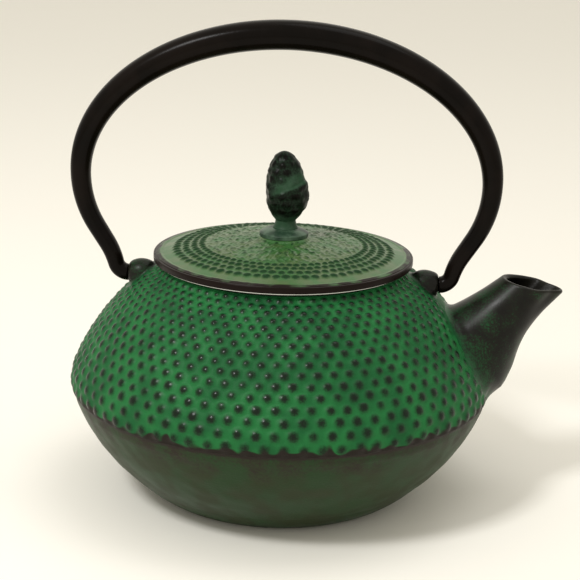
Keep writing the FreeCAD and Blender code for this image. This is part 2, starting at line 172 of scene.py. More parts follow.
def arc(first: Pair, second: Pair, radius: float, count: int) -> np.ndarray:
    """Points on a circle from first to second, bulging to the right of the way.

    Args:
        first: start of the arc.
        second: end of the arc.
        radius: the circle's radius, negative where it bulges to the left.
        count: number of points, both ends included.

    Returns:
        An array of (across, up) points.
    """
    start, end = np.array(first, float), np.array(second, float)
    chord = end - start
    length = np.hypot(*chord)
    side = np.array([-chord[1], chord[0]]) / length
    reach = math.copysign(math.sqrt(radius * radius - length * length / 4), radius)
    centre = (start + end) / 2 + side * reach
    begin = math.atan2(*(start - centre)[::-1])
    turn = math.copysign(2 * math.asin(length / 2 / abs(radius)), radius)
    angle = begin + turn * np.linspace(0, 1, count)
    return centre + abs(radius) * np.stack([np.cos(angle), np.sin(angle)], -1)


def softened(corners: list[Pair], radius: float) -> np.ndarray:
    """Round the corners of a closed outline.

    Each corner becomes the curve (1-t)^2 A + 2t(1-t) C + t^2 B, where C is the
    corner and A and B lie on its two edges, radius away or less on a short edge.

    Args:
        corners: (across, up) points in order.
        radius: how far the rounding reaches along the edges.

    Returns:
        The rounded outline as an array of points, CORNER_STEPS for each corner.
    """
    edge_share = 0.45
    middle = np.array(corners, float)
    ends = []
    for way in (1, -1):
        edge = np.roll(middle, way, 0) - middle
        reach = np.minimum(radius / np.linalg.norm(edge, axis=1), edge_share)
        ends.append((middle + edge * reach[:, None])[:, None])
    t = np.linspace(0, 1, CORNER_STEPS)[None, :, None]
    curve = (1 - t) ** 2 * ends[0] + 2 * t * (1 - t) * middle[:, None] + t * t * ends[1]
    return curve.reshape(-1, 2)


def dense(points: np.ndarray, step: float, closed: bool = False) -> np.ndarray:
    """Add points along a line so that none are further apart than step.

    Args:
        points: the line's points in order.
        step: largest gap in millimetres.
        closed: whether the line runs back to its first point.

    Returns:
        The old points with the new ones between them.
    """
    line = np.vstack([points, points[:1]]) if closed else points
    along = np.concatenate([[0], np.cumsum(np.linalg.norm(np.diff(line, axis=0), axis=1))])
    places = np.union1d(along, np.linspace(0, along[-1], int(along[-1] / step) + 2))
    places = places[np.concatenate([[True], np.diff(places) > TINY])]
    full = np.stack([np.interp(places, along, line[:, i]) for i in range(line.shape[1])], -1)
    return full[:-1] if closed else full


def spun(profile: np.ndarray, columns: int) -> np.ndarray:
    """Turn an (r, z) profile about z: (r cos a, r sin a, z) for each angle a.

    Args:
        profile: points with radius and height.
        columns: how many angles a turn has.

    Returns:
        A grid of points, one row for each point of the profile.
    """
    angle = angles(columns)
    across, up = profile[:, 0, None], profile[:, 1, None]
    return np.stack([across * np.cos(angle), across * np.sin(angle), up + 0 * angle], -1)


def linked(name: str, mesh: bpy.types.Mesh) -> bpy.types.Object:
    """Put a mesh into the scene with smooth shading.

    Args:
        name: name of the object.
        mesh: the finished mesh.

    Returns:
        The new object.
    """
    mesh.update()
    mesh.polygons.foreach_set("use_smooth", np.ones(len(mesh.polygons), bool))
    thing = bpy.data.objects.new(name, mesh)
    bpy.context.scene.collection.objects.link(thing)
    return thing


def grid_object(name: str, points: np.ndarray, closed_rows: bool = False,
                layers: dict[str, np.ndarray] | None = None) -> bpy.types.Object:
    """Make a smooth mesh from a grid of points whose columns close into rings.

    Each point is joined with the next in its row and the same in the next row.
    A row of points that all coincide becomes one pole.

    Args:
        name: name of the object.
        points: (rows, columns, 3) places in millimetres.
        closed_rows: whether the last row joins the first.
        layers: named numbers for each point, as (rows, columns) arrays.

    Returns:
        The object, linked to the scene, with its place in its mesh.
    """
    rows, columns = points.shape[:2]
    index = np.arange(rows * columns).reshape(rows, columns)
    poles = np.ptp(points, axis=1).max(-1) < TINY
    index[poles] = index[poles, :1]
    upper = np.roll(index, -1, 0) if closed_rows else index[1:]
    lower = index if closed_rows else index[:-1]
    faces = np.stack([lower, np.roll(lower, -1, 1), np.roll(upper, -1, 1), upper], -1)
    used, faces = np.unique(faces.reshape(-1, 4), return_inverse=True)
    faces = faces.reshape(-1, 4)
    foot, head = faces[:, 0] == faces[:, 1], faces[:, 2] == faces[:, 3]
    sides = faces[~foot & ~head].tolist()
    sides += faces[foot & ~head][:, 1:].tolist() + faces[head & ~foot][:, :3].tolist()
    mesh = bpy.data.meshes.new(name)
    mesh.from_pydata((points.reshape(-1, 3)[used] * MM).tolist(), [], sides)
    for layer, values in (layers or {}).items():
        attribute = mesh.attributes.new(layer, "FLOAT", "POINT")
        attribute.data.foreach_set("value", values.reshape(-1)[used].astype(np.float32))
    return linked(name, mesh)


def wire_object(name: str, paths: np.ndarray, across: np.ndarray, radius: float,
                closed: bool, sides: int = 4) -> bpy.types.Object:
    """Make many thin wires: a ring p + radius (cos b u + sin b v) at each path point.

    Args:
        name: name of the object.
        paths: (wires, points, 3) centre lines in millimetres.
        across: a direction square to the wire at each point, of the same shape.
        radius: radius of the wire in millimetres.
        closed: whether each wire is a ring.
        sides: corners of the wire's section.

    Returns:
        The object, linked to the scene.
    """
    ahead = np.roll(paths, -1, 1) - np.roll(paths, 1, 1) if closed else np.gradient(paths, axis=1)
    second = np.cross(unit(ahead), across)
    angle = angles(sides)[:, None]
    ring = np.cos(angle) * across[:, :, None] + np.sin(angle) * second[:, :, None]
    points = paths[:, :, None] + radius * ring
    wires, count = paths.shape[:2]
    index = np.arange(wires * count * sides).reshape(wires, count, sides)
    lower = index if closed else index[:, :-1]
    upper = np.roll(index, -1, 1) if closed else index[:, 1:]
    faces = np.stack([lower, np.roll(lower, -1, 2), np.roll(upper, -1, 2), upper], -1)
    faces = faces.reshape(-1, 4).tolist()
    ends = [] if closed else index[:, 0, ::-1].tolist() + index[:, -1].tolist()
    mesh = bpy.data.meshes.new(name)
    mesh.from_pydata((points.reshape(-1, 3) * MM).tolist(), [], faces + ends)
    return linked(name, mesh)


def dress(thing: bpy.types.Object, finish: "Finish", body: Body, slot: str,
          *nodes: str) -> bpy.types.Object:
    """Give a piece its finish and its place in the frame.

    Args:
        thing: the new piece.
        finish: what its surface is.
        body: body that it rides on.
        slot: name of a material slot; not used.
        nodes: CAD nodes that it stands for.

    Returns:
        The same object.
    """
    thing.data.materials.append(finish.material())
    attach(thing, body.value)
    if nodes:
        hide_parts(*nodes)
    LOG.info("%s: %d faces in %s", thing.name, len(thing.data.polygons), finish.name)
    return thing


@dataclass(frozen=True)
class Ground:
    """What paint is laid over: a material's tree, and the outputs of its patches and grain."""

    tree: bpy.types.NodeTree
    colour: Socket
    rough: Socket
    patch: Socket
    grain: Socket

    def cover(self, layer: str, noises: list[tuple[Socket, float]], low: float,
              high: float) -> Socket:
        """How much of a paint shows: a layer of the mesh plus parts of noises, eased.

        Args:
            layer: name of the layer.
            noises: outputs of noise, each with the part of it that is added.
            low: sum at which the paint starts to show.
            high: sum at which it hides what is under it.

        Returns:
            An output from 0 to 1.
        """
        total = add_node(self.tree, "ShaderNodeAttribute", attribute_name=layer).outputs["Fac"]
        for noise, part in noises:
            total = add_node(self.tree, "ShaderNodeMath", {0: noise, 1: part, 2: total},
                             operation="MULTIPLY_ADD").outputs[0]
        return add_node(self.tree, "ShaderNodeMapRange", {
            "Value": total, "From Min": low, "From Max": high},
            interpolation_type="SMOOTHSTEP").outputs[0]


@dataclass(frozen=True)
class Finish:
    """A surface finish that makes its material once.

    Patches patch_mm wide mix two colours and two roughnesses where their noise lies
    between patch_low and patch_high, and grain of grain_mm stands grain_depth_mm high.
    metallic and specular are the shader's own.
    """

    name: str
    colour: str
    second: str
    rough: float
    rough_second: float
    patch_mm: float = 9.0
    patch_low: float = 0.36
    patch_high: float = 0.64
    patch_detail: float = 4.0
    grain_mm: float = 0.7
    grain_depth_mm: float = 0.03
    grain_detail: float = 3.0
    metallic: float = 0.0
    specular: float = 0.5

    def material(self) -> bpy.types.Material:
        """The material of this finish, made at the first call."""
        return bpy.data.materials.get(self.name) or self.make()

    def make(self) -> bpy.types.Material:
        """Build the node tree: patches of two colours, what paint adds, and a grain.

        Returns:
            The new material.
        """
        material = bpy.data.materials.new(self.name)
        material.use_nodes = True
        tree = material.node_tree
        shader = tree.nodes["Principled BSDF"]
        shader.inputs["Metallic"].default_value = self.metallic
        shader.inputs["Specular IOR Level"].default_value = self.specular
        place = add_node(tree, "ShaderNodeTexCoord").outputs["Object"]
        sizes = ((self.patch_mm, self.patch_detail), (self.grain_mm, self.grain_detail))
        patch, grain = (add_node(tree, "ShaderNodeTexNoise", {
            "Vector": place, "Scale": 1 / (size * MM), "Detail": detail}).outputs[0]
            for size, detail in sizes)
        share = add_node(tree, "ShaderNodeMapRange", {
            "Value": patch, "From Min": self.patch_low, "From Max": self.patch_high},
            interpolation_type="SMOOTHSTEP").outputs[0]
        base = add_node(tree, "ShaderNodeMix", {
            FACTOR: share, COLOUR_A: linear(self.colour), COLOUR_B: linear(self.second)},
            data_type="RGBA").outputs[MIXED_COLOUR]
        rough = add_node(tree, "ShaderNodeMapRange", {
            "Value": share, "To Min": self.rough, "To Max": self.rough_second}).outputs[0]
        colour, rough = self.paint(Ground(tree, base, rough, patch, grain))
        bump = add_node(tree, "ShaderNodeBump", {
            "Strength": 1.0, "Distance": self.grain_depth_mm * MM, "Height": grain})
        tree.links.new(colour, shader.inputs["Base Color"])
        tree.links.new(rough, shader.inputs["Roughness"])
        tree.links.new(bump.outputs["Normal"], shader.inputs["Normal"])
        return material

    def paint(self, ground: Ground) -> tuple[Socket, Socket]:
        """Colour and roughness of a plain finish: its patches, with nothing over them."""
        return ground.colour, ground.rough


@dataclass(frozen=True)
class StuddedPaint(Finish):
    """Green paint rubbed through to dark iron on the tips of cast studs.

    A tip shows where the stud layer plus grain_share of the grain lies between tip_start
    and tip_end, and a chip where the bare layer plus patch_share of the patches lies
    between chip_start and chip_end.
    """

    tip: str = "#10160f"
    tip_rough: float = 0.3
    tip_specular: float = 0.16
    tip_start: float = 0.5
    tip_end: float = 1.15
    grain_share: float = 0.5
    iron: str = "#1d1712"
    chip_start: float = 1.0
    chip_end: float = 1.25
    patch_share: float = 0.8

    def paint(self, ground: Ground) -> tuple[Socket, Socket]:
        """Green between the studs, dark uneven tips, and bare iron at chipped edges.

        Args:
            ground: what the paint lies over. Its shader also gets the gloss of tips and chips.

        Returns:
            The outputs for colour and roughness.
        """
        tree, colour = ground.tree, ground.colour
        tips = ground.cover("stud", [(ground.grain, self.grain_share)], self.tip_start, self.tip_end)
        chips = ground.cover("bare", [(ground.patch, self.patch_share)],
                             self.chip_start, self.chip_end)
        for share, paint in ((tips, self.tip), (chips, self.iron)):
            colour = add_node(tree, "ShaderNodeMix", {
                FACTOR: share, COLOUR_A: colour, COLOUR_B: linear(paint)},
                data_type="RGBA").outputs[MIXED_COLOUR]
        rough = add_node(tree, "ShaderNodeMix", {
            FACTOR: tips, NUMBER_A: ground.rough, NUMBER_B: self.tip_rough}).outputs[0]
        dark = add_node(tree, "ShaderNodeMath", {0: tips, 1: chips}, operation="MAXIMUM").outputs[0]
        gloss = add_node(tree, "ShaderNodeMix", {
            FACTOR: dark, NUMBER_A: self.specular, NUMBER_B: self.tip_specular}).outputs[0]
        tree.links.new(gloss, tree.nodes["Principled BSDF"].inputs["Specular IOR Level"])
        return colour, rough


@dataclass(frozen=True)
class SmearedIron(Finish):
    """Dark iron with a second colour smeared over it where its root layer is high.

    The smear shows where the root layer plus patch_share of the patches plus grain_share
    of the grain lies between smear_start and smear_end.
    """

    smear: str = "#1c6434"
    smear_start: float = 1.12
    smear_end: float = 1.65
    patch_share: float = 0.9
    grain_share: float = 0.8

    def paint(self, ground: Ground) -> tuple[Socket, Socket]:
        """The patches, with the smear where the root layer and the patches meet.

        Args:
            ground: what the smear lies over.

        Returns:
            The outputs for colour and roughness.
        """
        noises = [(ground.patch, self.patch_share), (ground.grain, self.grain_share)]
        share = ground.cover("root", noises, self.smear_start, self.smear_end)
        colour = add_node(ground.tree, "ShaderNodeMix", {
            FACTOR: share, COLOUR_A: ground.colour, COLOUR_B: linear(self.smear)},
            data_type="RGBA").outputs[MIXED_COLOUR]
        return colour, ground.rough


# Cast iron under worn green paint: even matt green, with half-gloss dark iron at the tips
SHOULDER_PAINT = StuddedPaint(
    "worn green paint on cast iron studs", colour="#13532a", second="#1c6633",
    rough=0.6, rough_second=0.5, patch_mm=12.0, specular=0.16,
    tip="#0d1a0f", tip_rough=0.22, tip_start=0.42, tip_end=1.18)
# The same paint, thinner and dustier, on the lid: greyer green with a sheen at low angles. Its dark
# tip colour also paints shade along the disc's wrinkles.
LID_PAINT = StuddedPaint(
    "thin green paint on cast iron lid", colour="#30602b", second="#465f33",
    rough=0.36, rough_second=0.3, patch_mm=6.0, specular=0.44, iron="#160d0a",
    tip="#15351a", tip_rough=0.5, tip_specular=0.08, tip_start=0.22, tip_end=0.8)
# As-cast iron under a thin dark wash: brown and green mottle, half gloss. Its dark brown smear also
# paints the shade just under the shoulder's overhang.
BOWL_IRON = SmearedIron(
    "dark washed cast iron", colour="#1b3616", second="#263118",
    rough=0.4, rough_second=0.5, patch_mm=10.0, grain_mm=0.9, grain_depth_mm=0.08,
    specular=0.2, smear="#231b15")
# Lacquered cast iron, smooth: brown black satin with smears of green
SPOUT_IRON = SmearedIron(
    "satin black lacquer on cast iron", colour="#0f0e0b", second="#181811",
    rough=0.28, rough_second=0.36, specular=0.15, smear="#154a28")
# Forged iron rod under black lacquer: near black with long soft highlights
BAIL_IRON = Finish(
    "black lacquer on forged iron", colour="#0b0806", second="#120d0a",
    rough=0.18, rough_second=0.25, patch_mm=16.0, grain_mm=1.1, grain_depth_mm=0.02,
    specular=0.06)
# Cast iron knob under worn paint: dark where hands rub it, green in its hollows
KNOB_IRON = StuddedPaint(
    "worn green paint on cast iron knob", colour="#25422d", second="#314a38",
    rough=0.45, rough_second=0.4, patch_mm=4.0, specular=0.12,
    tip="#090906", tip_specular=0.07)
# The same paint on the plate under the knob, rubbed by fingers: grey green with dark patches
SEAT_PAINT = Finish(
    "rubbed green paint on cast iron seat", colour="#22392a", second="#4b6450",
    rough=0.4, rough_second=0.34, patch_mm=5.0, specular=0.25)
# Vitreous enamel inside the pot: black and glassy
ENAMEL = Finish(
    "black vitreous enamel", colour="#0c0c0c", second="#141414",
    rough=0.12, rough_second=0.2, patch_mm=20.0, grain_mm=3.0, grain_depth_mm=0.02)
# Pressed stainless sheet, rolled finish: bright grey with a faint grain
SHEET_STEEL = Finish(
    "rolled stainless sheet", colour="#c9c9c6", second="#b9b9b6",
    rough=0.22, rough_second=0.3, patch_mm=12.0, grain_mm=0.4, grain_depth_mm=0.004,
    metallic=1.0)
# Drawn stainless wire: bright and even
WIRE_STEEL = Finish(
    "drawn stainless wire", colour="#c2c2be", second="#b0b0ac",
    rough=0.25, rough_second=0.35, patch_mm=3.0, grain_mm=0.3, grain_depth_mm=0.003,
    metallic=1.0)


@dataclass(frozen=True)
class Studs:
    """Staggered rows of small cast studs on a turned surface.

    A stud is height (1 - q^2)^2, where q is the distance from its middle over
    its radius. Rows lie a fixed share of the radius apart, so studs keep their
    shape as they shrink towards the axis. Chance takes up a share of the pitch,
    of the row step, of the width and of the height.
    """

    in_row: int
    first_row: float
    row_step: float
    rows: int
    height: float
    width_share: float = 1.06
    pitch_chance: float = 0.1
    row_chance: float = 0.12
    width_chance: float = 0.2
    height_chance: float = 0.18
    height_draw: int = 7

    def relief(self, turn: np.ndarray, climb: np.ndarray, radius: np.ndarray) -> np.ndarray:
        """Height of the studs, from 0 between them to about 1 on their tips.

        Args:
            turn: angle about the axis.
            climb: length along the profile over radius, added up from its start.
            radius: distance from the axis.

        Returns:
            Relief with the shape of the three arrays together.
        """
        row = np.clip(np.round((climb - self.first_row) / self.row_step), 0, self.rows - 1)
        place = turn * self.in_row / (2 * np.pi) - 0.5 * np.mod(row, 2)
        column = np.mod(np.round(place), self.in_row)
        pitch = 2 * np.pi * radius / self.in_row
        chance = scatter(row, column)
        aside = (place - np.round(place) + self.pitch_chance * (chance - 0.5)) * pitch
        middle = row + self.row_chance * (scatter(column, row) - 0.5)
        above = (climb - self.first_row - middle * self.row_step) * radius
        width = self.width_share * (1 - self.width_chance / 2 + self.width_chance * chance)
        q = np.hypot(aside, above) / (pitch * width / 2)
        tall = 1 - self.height_chance * (1 - scatter(column + self.height_draw, row))
        return np.clip(1 - q * q, 0, 1) ** 2 * tall


@dataclass
class Horn:
    """A hollow spout or boss that grows out of the pot's side with a soft root.

    A ring at share t of its length lies at foot + t length axis + radius(t)
    (cos b n1 + sin b n2), and its last ring on the plane of its mouth. The root
    is the curve (1-s)^2 T + 2s(1-s) I + s^2 B from a point T on the horn to a point B
    on the pot, drawn towards I, where the two would meet. The tints are its root
    layer at the foot of the root, at its top and at the mouth.
    """

    foot: Point
    axis: Point
    side: Point
    length: float
    mouth: Point
    mouth_normal: Point
    wall: float
    lip_wall: float
    bore_depth: float
    root_under: float
    root_over: float
    lip: float = 0.9
    lip_fade: float = 0.2
    root_limit: float = 0.6
    root_drop: float = 3.5
    foot_tint: float = 1.0
    root_tint: float = 0.34
    mouth_tint: float = 0.26
    search: Pair = (-0.3, 0.9)
    search_steps: int = 600
    mouth_guess: float = 0.9
    mouth_steps: int = 8
    columns: int = 128
    root_rows: int = 14
    tube_rows: int = 40
    lip_rows: int = 11
    bore_rows: int = 16

    def radius(self, share: np.ndarray, turn: np.ndarray) -> np.ndarray:
        """Radius of the horn at a share of its length and an angle."""
        raise NotImplementedError

    def basis(self) -> np.ndarray:
        """Unit vectors as rows: two across the horn and one along it."""
        along, first = unit(np.array(self.axis)), unit(np.array(self.side))
        return np.stack([first, np.cross(along, first), along])

    def outward(self, turn: np.ndarray) -> np.ndarray:
        """Directions cos b n1 + sin b n2 out from the horn's axis."""
        first, second, _ = self.basis()
        return np.cos(turn)[..., None] * first + np.sin(turn)[..., None] * second

    def ring(self, share: np.ndarray, turn: np.ndarray,
             inset: np.ndarray | float = 0.0) -> np.ndarray:
        """Points at shares of the length and angles, moved in by inset.

        Args:
            share: shares of the length, with the angles on the last axis.
            turn: angles round the horn.
            inset: how far inside the horn's skin the points lie.

        Returns:
            Points with x, y and z on the last axis.
        """
        along = self.basis()[2]
        return (np.array(self.foot) + (share * self.length)[..., None] * along
                + (self.radius(share, turn) - inset)[..., None] * self.outward(turn))

    def mouth_share(self, turn: np.ndarray) -> np.ndarray:
        """Share of the length at which each line along the horn meets the mouth's plane.

        A guess is moved along the horn by its gap to the plane, a few times over.

        Args:
            turn: angles round the horn.

        Returns:
            One share for each angle.
        """
        normal = np.array(self.mouth_normal)
        along = self.basis()[2]
        share = np.full_like(turn, self.mouth_guess)
        for _ in range(self.mouth_steps):
            gap = (self.ring(share, turn) - np.array(self.mouth)) @ normal
            share = share - gap / (self.length * (along @ normal))
        return share

    def root(self, pot: "Pot", turn: np.ndarray, top: np.ndarray) -> tuple[np.ndarray, np.ndarray]:
        """The soft root, from the pot's skin to the horn's.

        Args:
            pot: the pot that it grows out of.
            turn: angles round the horn.
            top: share of the length at which the horn ends at each angle.

        Returns:
            The grid of points, and the share at which the root ends at each angle.
        """
        shares = np.linspace(*self.search, self.search_steps)[:, None] + 0 * turn
        outside = pot.gap(self.ring(shares, turn)) > 0
        last_in = len(shares) - 1 - np.argmax(~outside[::-1], axis=0)
        meet = shares[last_in, np.arange(self.columns)]
        under = (1 + np.cos(turn)) / 2
        reach = self.root_over + (self.root_under - self.root_over) * under
        high = np.minimum(meet + reach / self.length, meet + self.root_limit * (top - meet))
        line = self.ring(meet, turn)
        skin, out = pot.normal(line), self.outward(turn)
        out = unit(out - (out * skin).sum(-1, keepdims=True) * skin)
        base = line + reach[:, None] * out
        base[:, 2] = np.maximum(base[:, 2], pot.seam[1] - self.root_drop)
        base = pot.snapped(base)
        s = np.linspace(1, 0, self.root_rows)[:, None, None]
        grid = (1 - s) ** 2 * self.ring(high, turn) + 2 * s * (1 - s) * line + s * s * base
        return grid, high

    def surface(self, pot: "Pot") -> tuple[np.ndarray, np.ndarray]:
        """The whole skin: root, outside, lip, bore and the bore's end.

        The lip is half a turn from the outside to the bore. Its wall is lip_wall thick
        at angle 0 and as thick as the wall further in at the other side.

        Args:
            pot: the pot that it grows out of.

        Returns:
            The grid of points, and the root layer, which is high near the root.
        """
        turn = angles(self.columns)
        top = self.mouth_share(turn)
        root, high = self.root(pot, turn, top)
        lip_share = self.lip / self.length
        t = np.linspace(0, 1, self.tube_rows)[1:, None]
        tube = self.ring(high + t * (top - lip_share - high), turn)
        bend = np.linspace(0, np.pi, self.lip_rows)[1:, None]
        brim = self.lip_wall + (self.wall - self.lip_wall) * (1 - np.cos(turn)) / 2
        level = top - lip_share * (1 - np.sin(bend))
        edge, inner = self.ring(level, turn), self.ring(level, turn, brim)
        lip = edge + (inner - edge) * ((1 - np.cos(bend)) / 2)[..., None]
        deep = np.linspace(0, self.bore_depth / self.length, self.bore_rows)[1:, None]
        thick = self.wall + (brim - self.wall) * smooth_step(self.lip_fade, 0.0, deep)
        bore = self.ring(top - lip_share - deep, turn, thick)
        end = np.repeat(bore[-1].mean(0)[None, None], self.columns, 1)
        fade = np.linspace(1, 0, len(root)) ** 2
        tint = np.concatenate([self.root_tint + (self.foot_tint - self.root_tint) * fade,
                               np.linspace(self.root_tint, self.mouth_tint, len(tube)),
                               np.zeros(len(lip) + len(bore) + len(end))])
        return np.concatenate([root, tube, lip, bore, end]), tint[:, None] + 0 * turn


@dataclass
class Spout(Horn):
    """The pouring spout: a horn that flares at its root and has a pinched tip.

    Angle 0 is its underside, which ends in the tip. Spans are shares of its length
    over which a form comes in or goes.
    """

    neck: float = 9.8
    flare: float = 10.2
    flare_end: float = 0.8
    inner_taper: float = 1.15
    hollow_over: float = 1.35
    hollow_under: float = 1.8
    root_swell: float = 2.2
    swell_start: Pair = (-0.05, 0.15)
    swell_end: Pair = (0.55, 0.2)
    pinch: float = 0.19
    pinch_span: Pair = (0.5, 0.95)
    back_swell: float = 0.8
    tip_swell: float = 0.2
    mouth_span: Pair = (0.3, 0.9)

    def radius(self, share: np.ndarray, turn: np.ndarray) -> np.ndarray:
        """Neck radius plus flare (1 - t / end)^hollow, pinched beside the tip.

        The underside swells at the root, and the back and the tip at the mouth.

        Args:
            share: shares of the length.
            turn: angles round the spout.

        Returns:
            One radius for each share and angle.
        """
        down = np.cos(turn)
        under = np.clip(down, 0, 1)
        hollow = self.hollow_over + (self.hollow_under - self.hollow_over) * under
        wide = np.clip(1 - np.maximum(share, 0) / self.flare_end, 0, 1) ** hollow
        wide = wide + self.inner_taper * np.minimum(share, 0)
        beside = np.where(down > 0, np.sin(2 * turn) ** 2, 0)
        squeeze = 1 - self.pinch * beside * smooth_step(*self.pinch_span, share)
        root = (self.root_swell * under ** 2 * smooth_step(*self.swell_start, share)
                * smooth_step(*self.swell_end, share))
        swell = np.where(down > 0, self.tip_swell, self.back_swell) * down ** 2
        mouth = swell * smooth_step(*self.mouth_span, share)
        return (self.neck + self.flare * wide) * squeeze + root + mouth


@dataclass
class Ear(Horn):
    """A round boss that holds one end of the bail."""

    face_radius: float = 3.9
    bulge: float = 1.7

    def radius(self, share: np.ndarray, turn: np.ndarray) -> np.ndarray:
        """Face radius plus a bulge 4t(1 - t) in the middle of its length."""
        return self.face_radius + self.bulge * np.clip(4 * share * (1 - share), -1, 1) + 0 * turn


def pouring_spout() -> Spout:
    """The spout in its place on the pot's +x side."""
    return Spout(
        foot=(70.0, 0.0, 56.0), axis=(31.1, 0.0, 34.7), side=(34.7, 0.0, -31.1), length=46.6,
        mouth=(97.0, 0.0, 86.1), mouth_normal=(0.218, 0.0, 0.976), wall=2.6, lip_wall=1.5,
        bore_depth=30.0, root_under=8.0, root_over=3.0)


def bail_ear(way: float) -> Ear:
    """The ear on the +x side where way is 1, and on the -x side where it is -1."""
    return Ear(
        foot=(49.8 * way, 0.0, HINGE_HEIGHT), axis=(way, 0.0, 0.0), side=(0.0, 0.0, -1.0),
        length=10.2, mouth=(60.0 * way, 0.0, HINGE_HEIGHT), mouth_normal=(way, 0.0, 0.0),
        wall=1.62, lip_wall=1.62, bore_depth=5.0, root_under=2.6, root_over=1.4, lip=1.3,
        columns=64)


@dataclass
class Pot:
    """The pot casting: bowl, studded shoulder, spout, ears, rim and enamelled inside.

    Profile points are radius and height. The shoulder is sunk under the solid's skin
    and stripped of studs beside spout and ears. The brown spans are heights over which
    the wash on the bowl turns brown; the band just under the seam is also painted shade,
    where the shoulder's overhang shades the bowl. bare_edge and bare_jag say how high and
    how unevenly the paint is worn off over the seam, as shares of the radius.
    """

    base_radius: float = 47.0
    heel: Pair = (58.7, 8.4)
    heel_curve: float = 38.0
    seam: Pair = (81.4, 41.7)
    bowl_curve: float = 75.0
    belly_foot: Pair = (82.0, 41.7)
    belly_top: Pair = (80.0, 52.4)
    belly_curve: float = 18.0
    rim: Pair = (47.0, 90.3)
    shoulder_curve: float = 94.0
    ear_root: Pair = (55.7, HINGE_HEIGHT)
    mouth_radius: float = 41.5
    wall: float = 3.2
    floor: float = 4.0
    lip_depth: float = 4.2
    rim_round: float = 0.4
    inner_neck: Pair = (53.4, 81.8)
    inner_belly: Pair = (77.1, 51.0)
    inner_heel: Pair = (56.4, 10.6)
    inner_bowl_curve: float = 90.0
    groove_depth: float = 0.8
    groove_height: float = 4.0
    tuck: float = 1.6
    sink: float = 0.75
    sink_fade: float = 1.6
    root_sink: float = 0.15
    steepest: float = 4.0
    studs: Studs = Studs(in_row=76, first_row=0.036, row_step=0.0568, rows=16, height=0.9)
    stud_fade: Pair = (0.3, 1.0)
    spout_clear: Pair = (18.0, 26.0)
    ear_clear: Pair = (6.0, 10.0)
    bare_edge: float = 0.075
    bare_jag: float = 0.022
    brown_wide: Pair = (24.0, 39.0)
    # Painted shade: a dark band just under the seam, where the shoulder's overhang shades the bowl,
    # over the wash's brown
    brown_and_shade_band: Pair = (40.4, 41.4)
    shoulder_uneven: float = 0.1
    bowl_uneven: float = 0.08
    bowl_smooth_foot: Pair = (1.0, 6.0)
    bowl_smooth_top: float = 38.0
    horn_uneven: float = 0.12
    columns: int = 740
    rows: int = 132
    bowl_columns: int = 320
    inside_columns: int = 192
    spout: Spout = field(default_factory=pouring_spout)
    right_ear: Ear = field(default_factory=lambda: bail_ear(1.0))
    left_ear: Ear = field(default_factory=lambda: bail_ear(-1.0))

    def bowl_line(self) -> np.ndarray:
        """Profile of the bowl: arcs from the base's edge over the heel to the groove.

        Returns:
            Points with radius and height.
        """
        heel = arc((self.base_radius, 0.0), self.heel, self.heel_curve, count=24)
        side = arc(self.heel, self.seam, self.bowl_curve, count=80)[1:]
        line = np.vstack([heel, side])
        groove_foot = self.seam[1] - self.groove_height
        inset = self.groove_depth * smooth_step(groove_foot, self.seam[1], line[:, 1])
        return line - np.stack([inset, 0 * inset], -1)

    def shoulder_line(self) -> np.ndarray:
        """Profile of the shoulder between the studs: three arcs, sunk under the solid's skin.

        Returns:
            Points with radius and height.
        """
        belly = arc(self.belly_foot, self.belly_top, self.belly_curve, count=60)
        low = arc(self.belly_top, self.ear_root, self.shoulder_curve, count=240)[1:]
        high = arc(self.ear_root, self.rim, self.shoulder_curve, count=80)[1:]
        line = np.vstack([belly, low, high])
        ahead = np.gradient(line, axis=0)
        out = unit(np.stack([ahead[:, 1], -ahead[:, 0]], -1))
        depth = self.sink * smooth_step(self.rim[1], self.rim[1] - self.sink_fade, line[:, 1])
        return line - out * depth[:, None]

    def side_line(self) -> np.ndarray:
        """The whole outer profile, bowl and shoulder, rising all the way."""
        return np.vstack([self.bowl_line(), self.shoulder_line()])

    def gap(self, points: np.ndarray) -> np.ndarray:
        """Distance outwards from the pot's side, level with each point.

        Args:
            points: places, with x, y and z on the last axis.

        Returns:
            One distance for each point, negative inside the pot.
        """
        line = self.side_line()
        side = np.interp(points[..., 2], line[:, 1], line[:, 0], right=0.0)
        return np.hypot(points[..., 0], points[..., 1]) - side

    def normal(self, points: np.ndarray) -> np.ndarray:
        """Unit normal of the pot's side, (x / r, y / r, -dr/dz) over its length.

        Args:
            points: places on the side or near it, none on the axis.

        Returns:
            One normal for each point.
        """
        line = self.side_line()
        slope = np.gradient(line[:, 0], line[:, 1] + TINY * np.arange(len(line)))
        slope = np.clip(slope, -self.steepest, self.steepest)
        lean = np.interp(points[..., 2], line[:, 1], slope)
        return unit(np.concatenate([unit(points[..., :2]), -lean[..., None]], -1))

    def snapped(self, points: np.ndarray) -> np.ndarray:
        """Points moved level onto the pot's side, a little under its skin.

        Args:
            points: places, with x, y and z on the last axis.

        Returns:
            The moved points.
        """
        away = np.hypot(points[..., 0], points[..., 1])
        scale = (away - self.gap(points) - self.root_sink) / away
        return points * np.stack([scale, scale, np.ones_like(scale)], -1)

    def build(self) -> None:
        """Make and dress every piece of the casting."""
        self.build_shoulder()
        self.build_bowl()
        self.build_inside()
        for name, horn in (("spout", self.spout), ("right_ear", self.right_ear),
                           ("left_ear", self.left_ear)):
            grid, near = horn.surface(self)
            uneven = self.horn_uneven * ripple(grid, width=9.0, seed=3)
            grid = grid + uneven[..., None] * self.normal(grid)
            thing = grid_object(name, grid, layers={"root": near})
            dress(thing, SPOUT_IRON, Body.POT, "green_cast_iron", "pot_body")

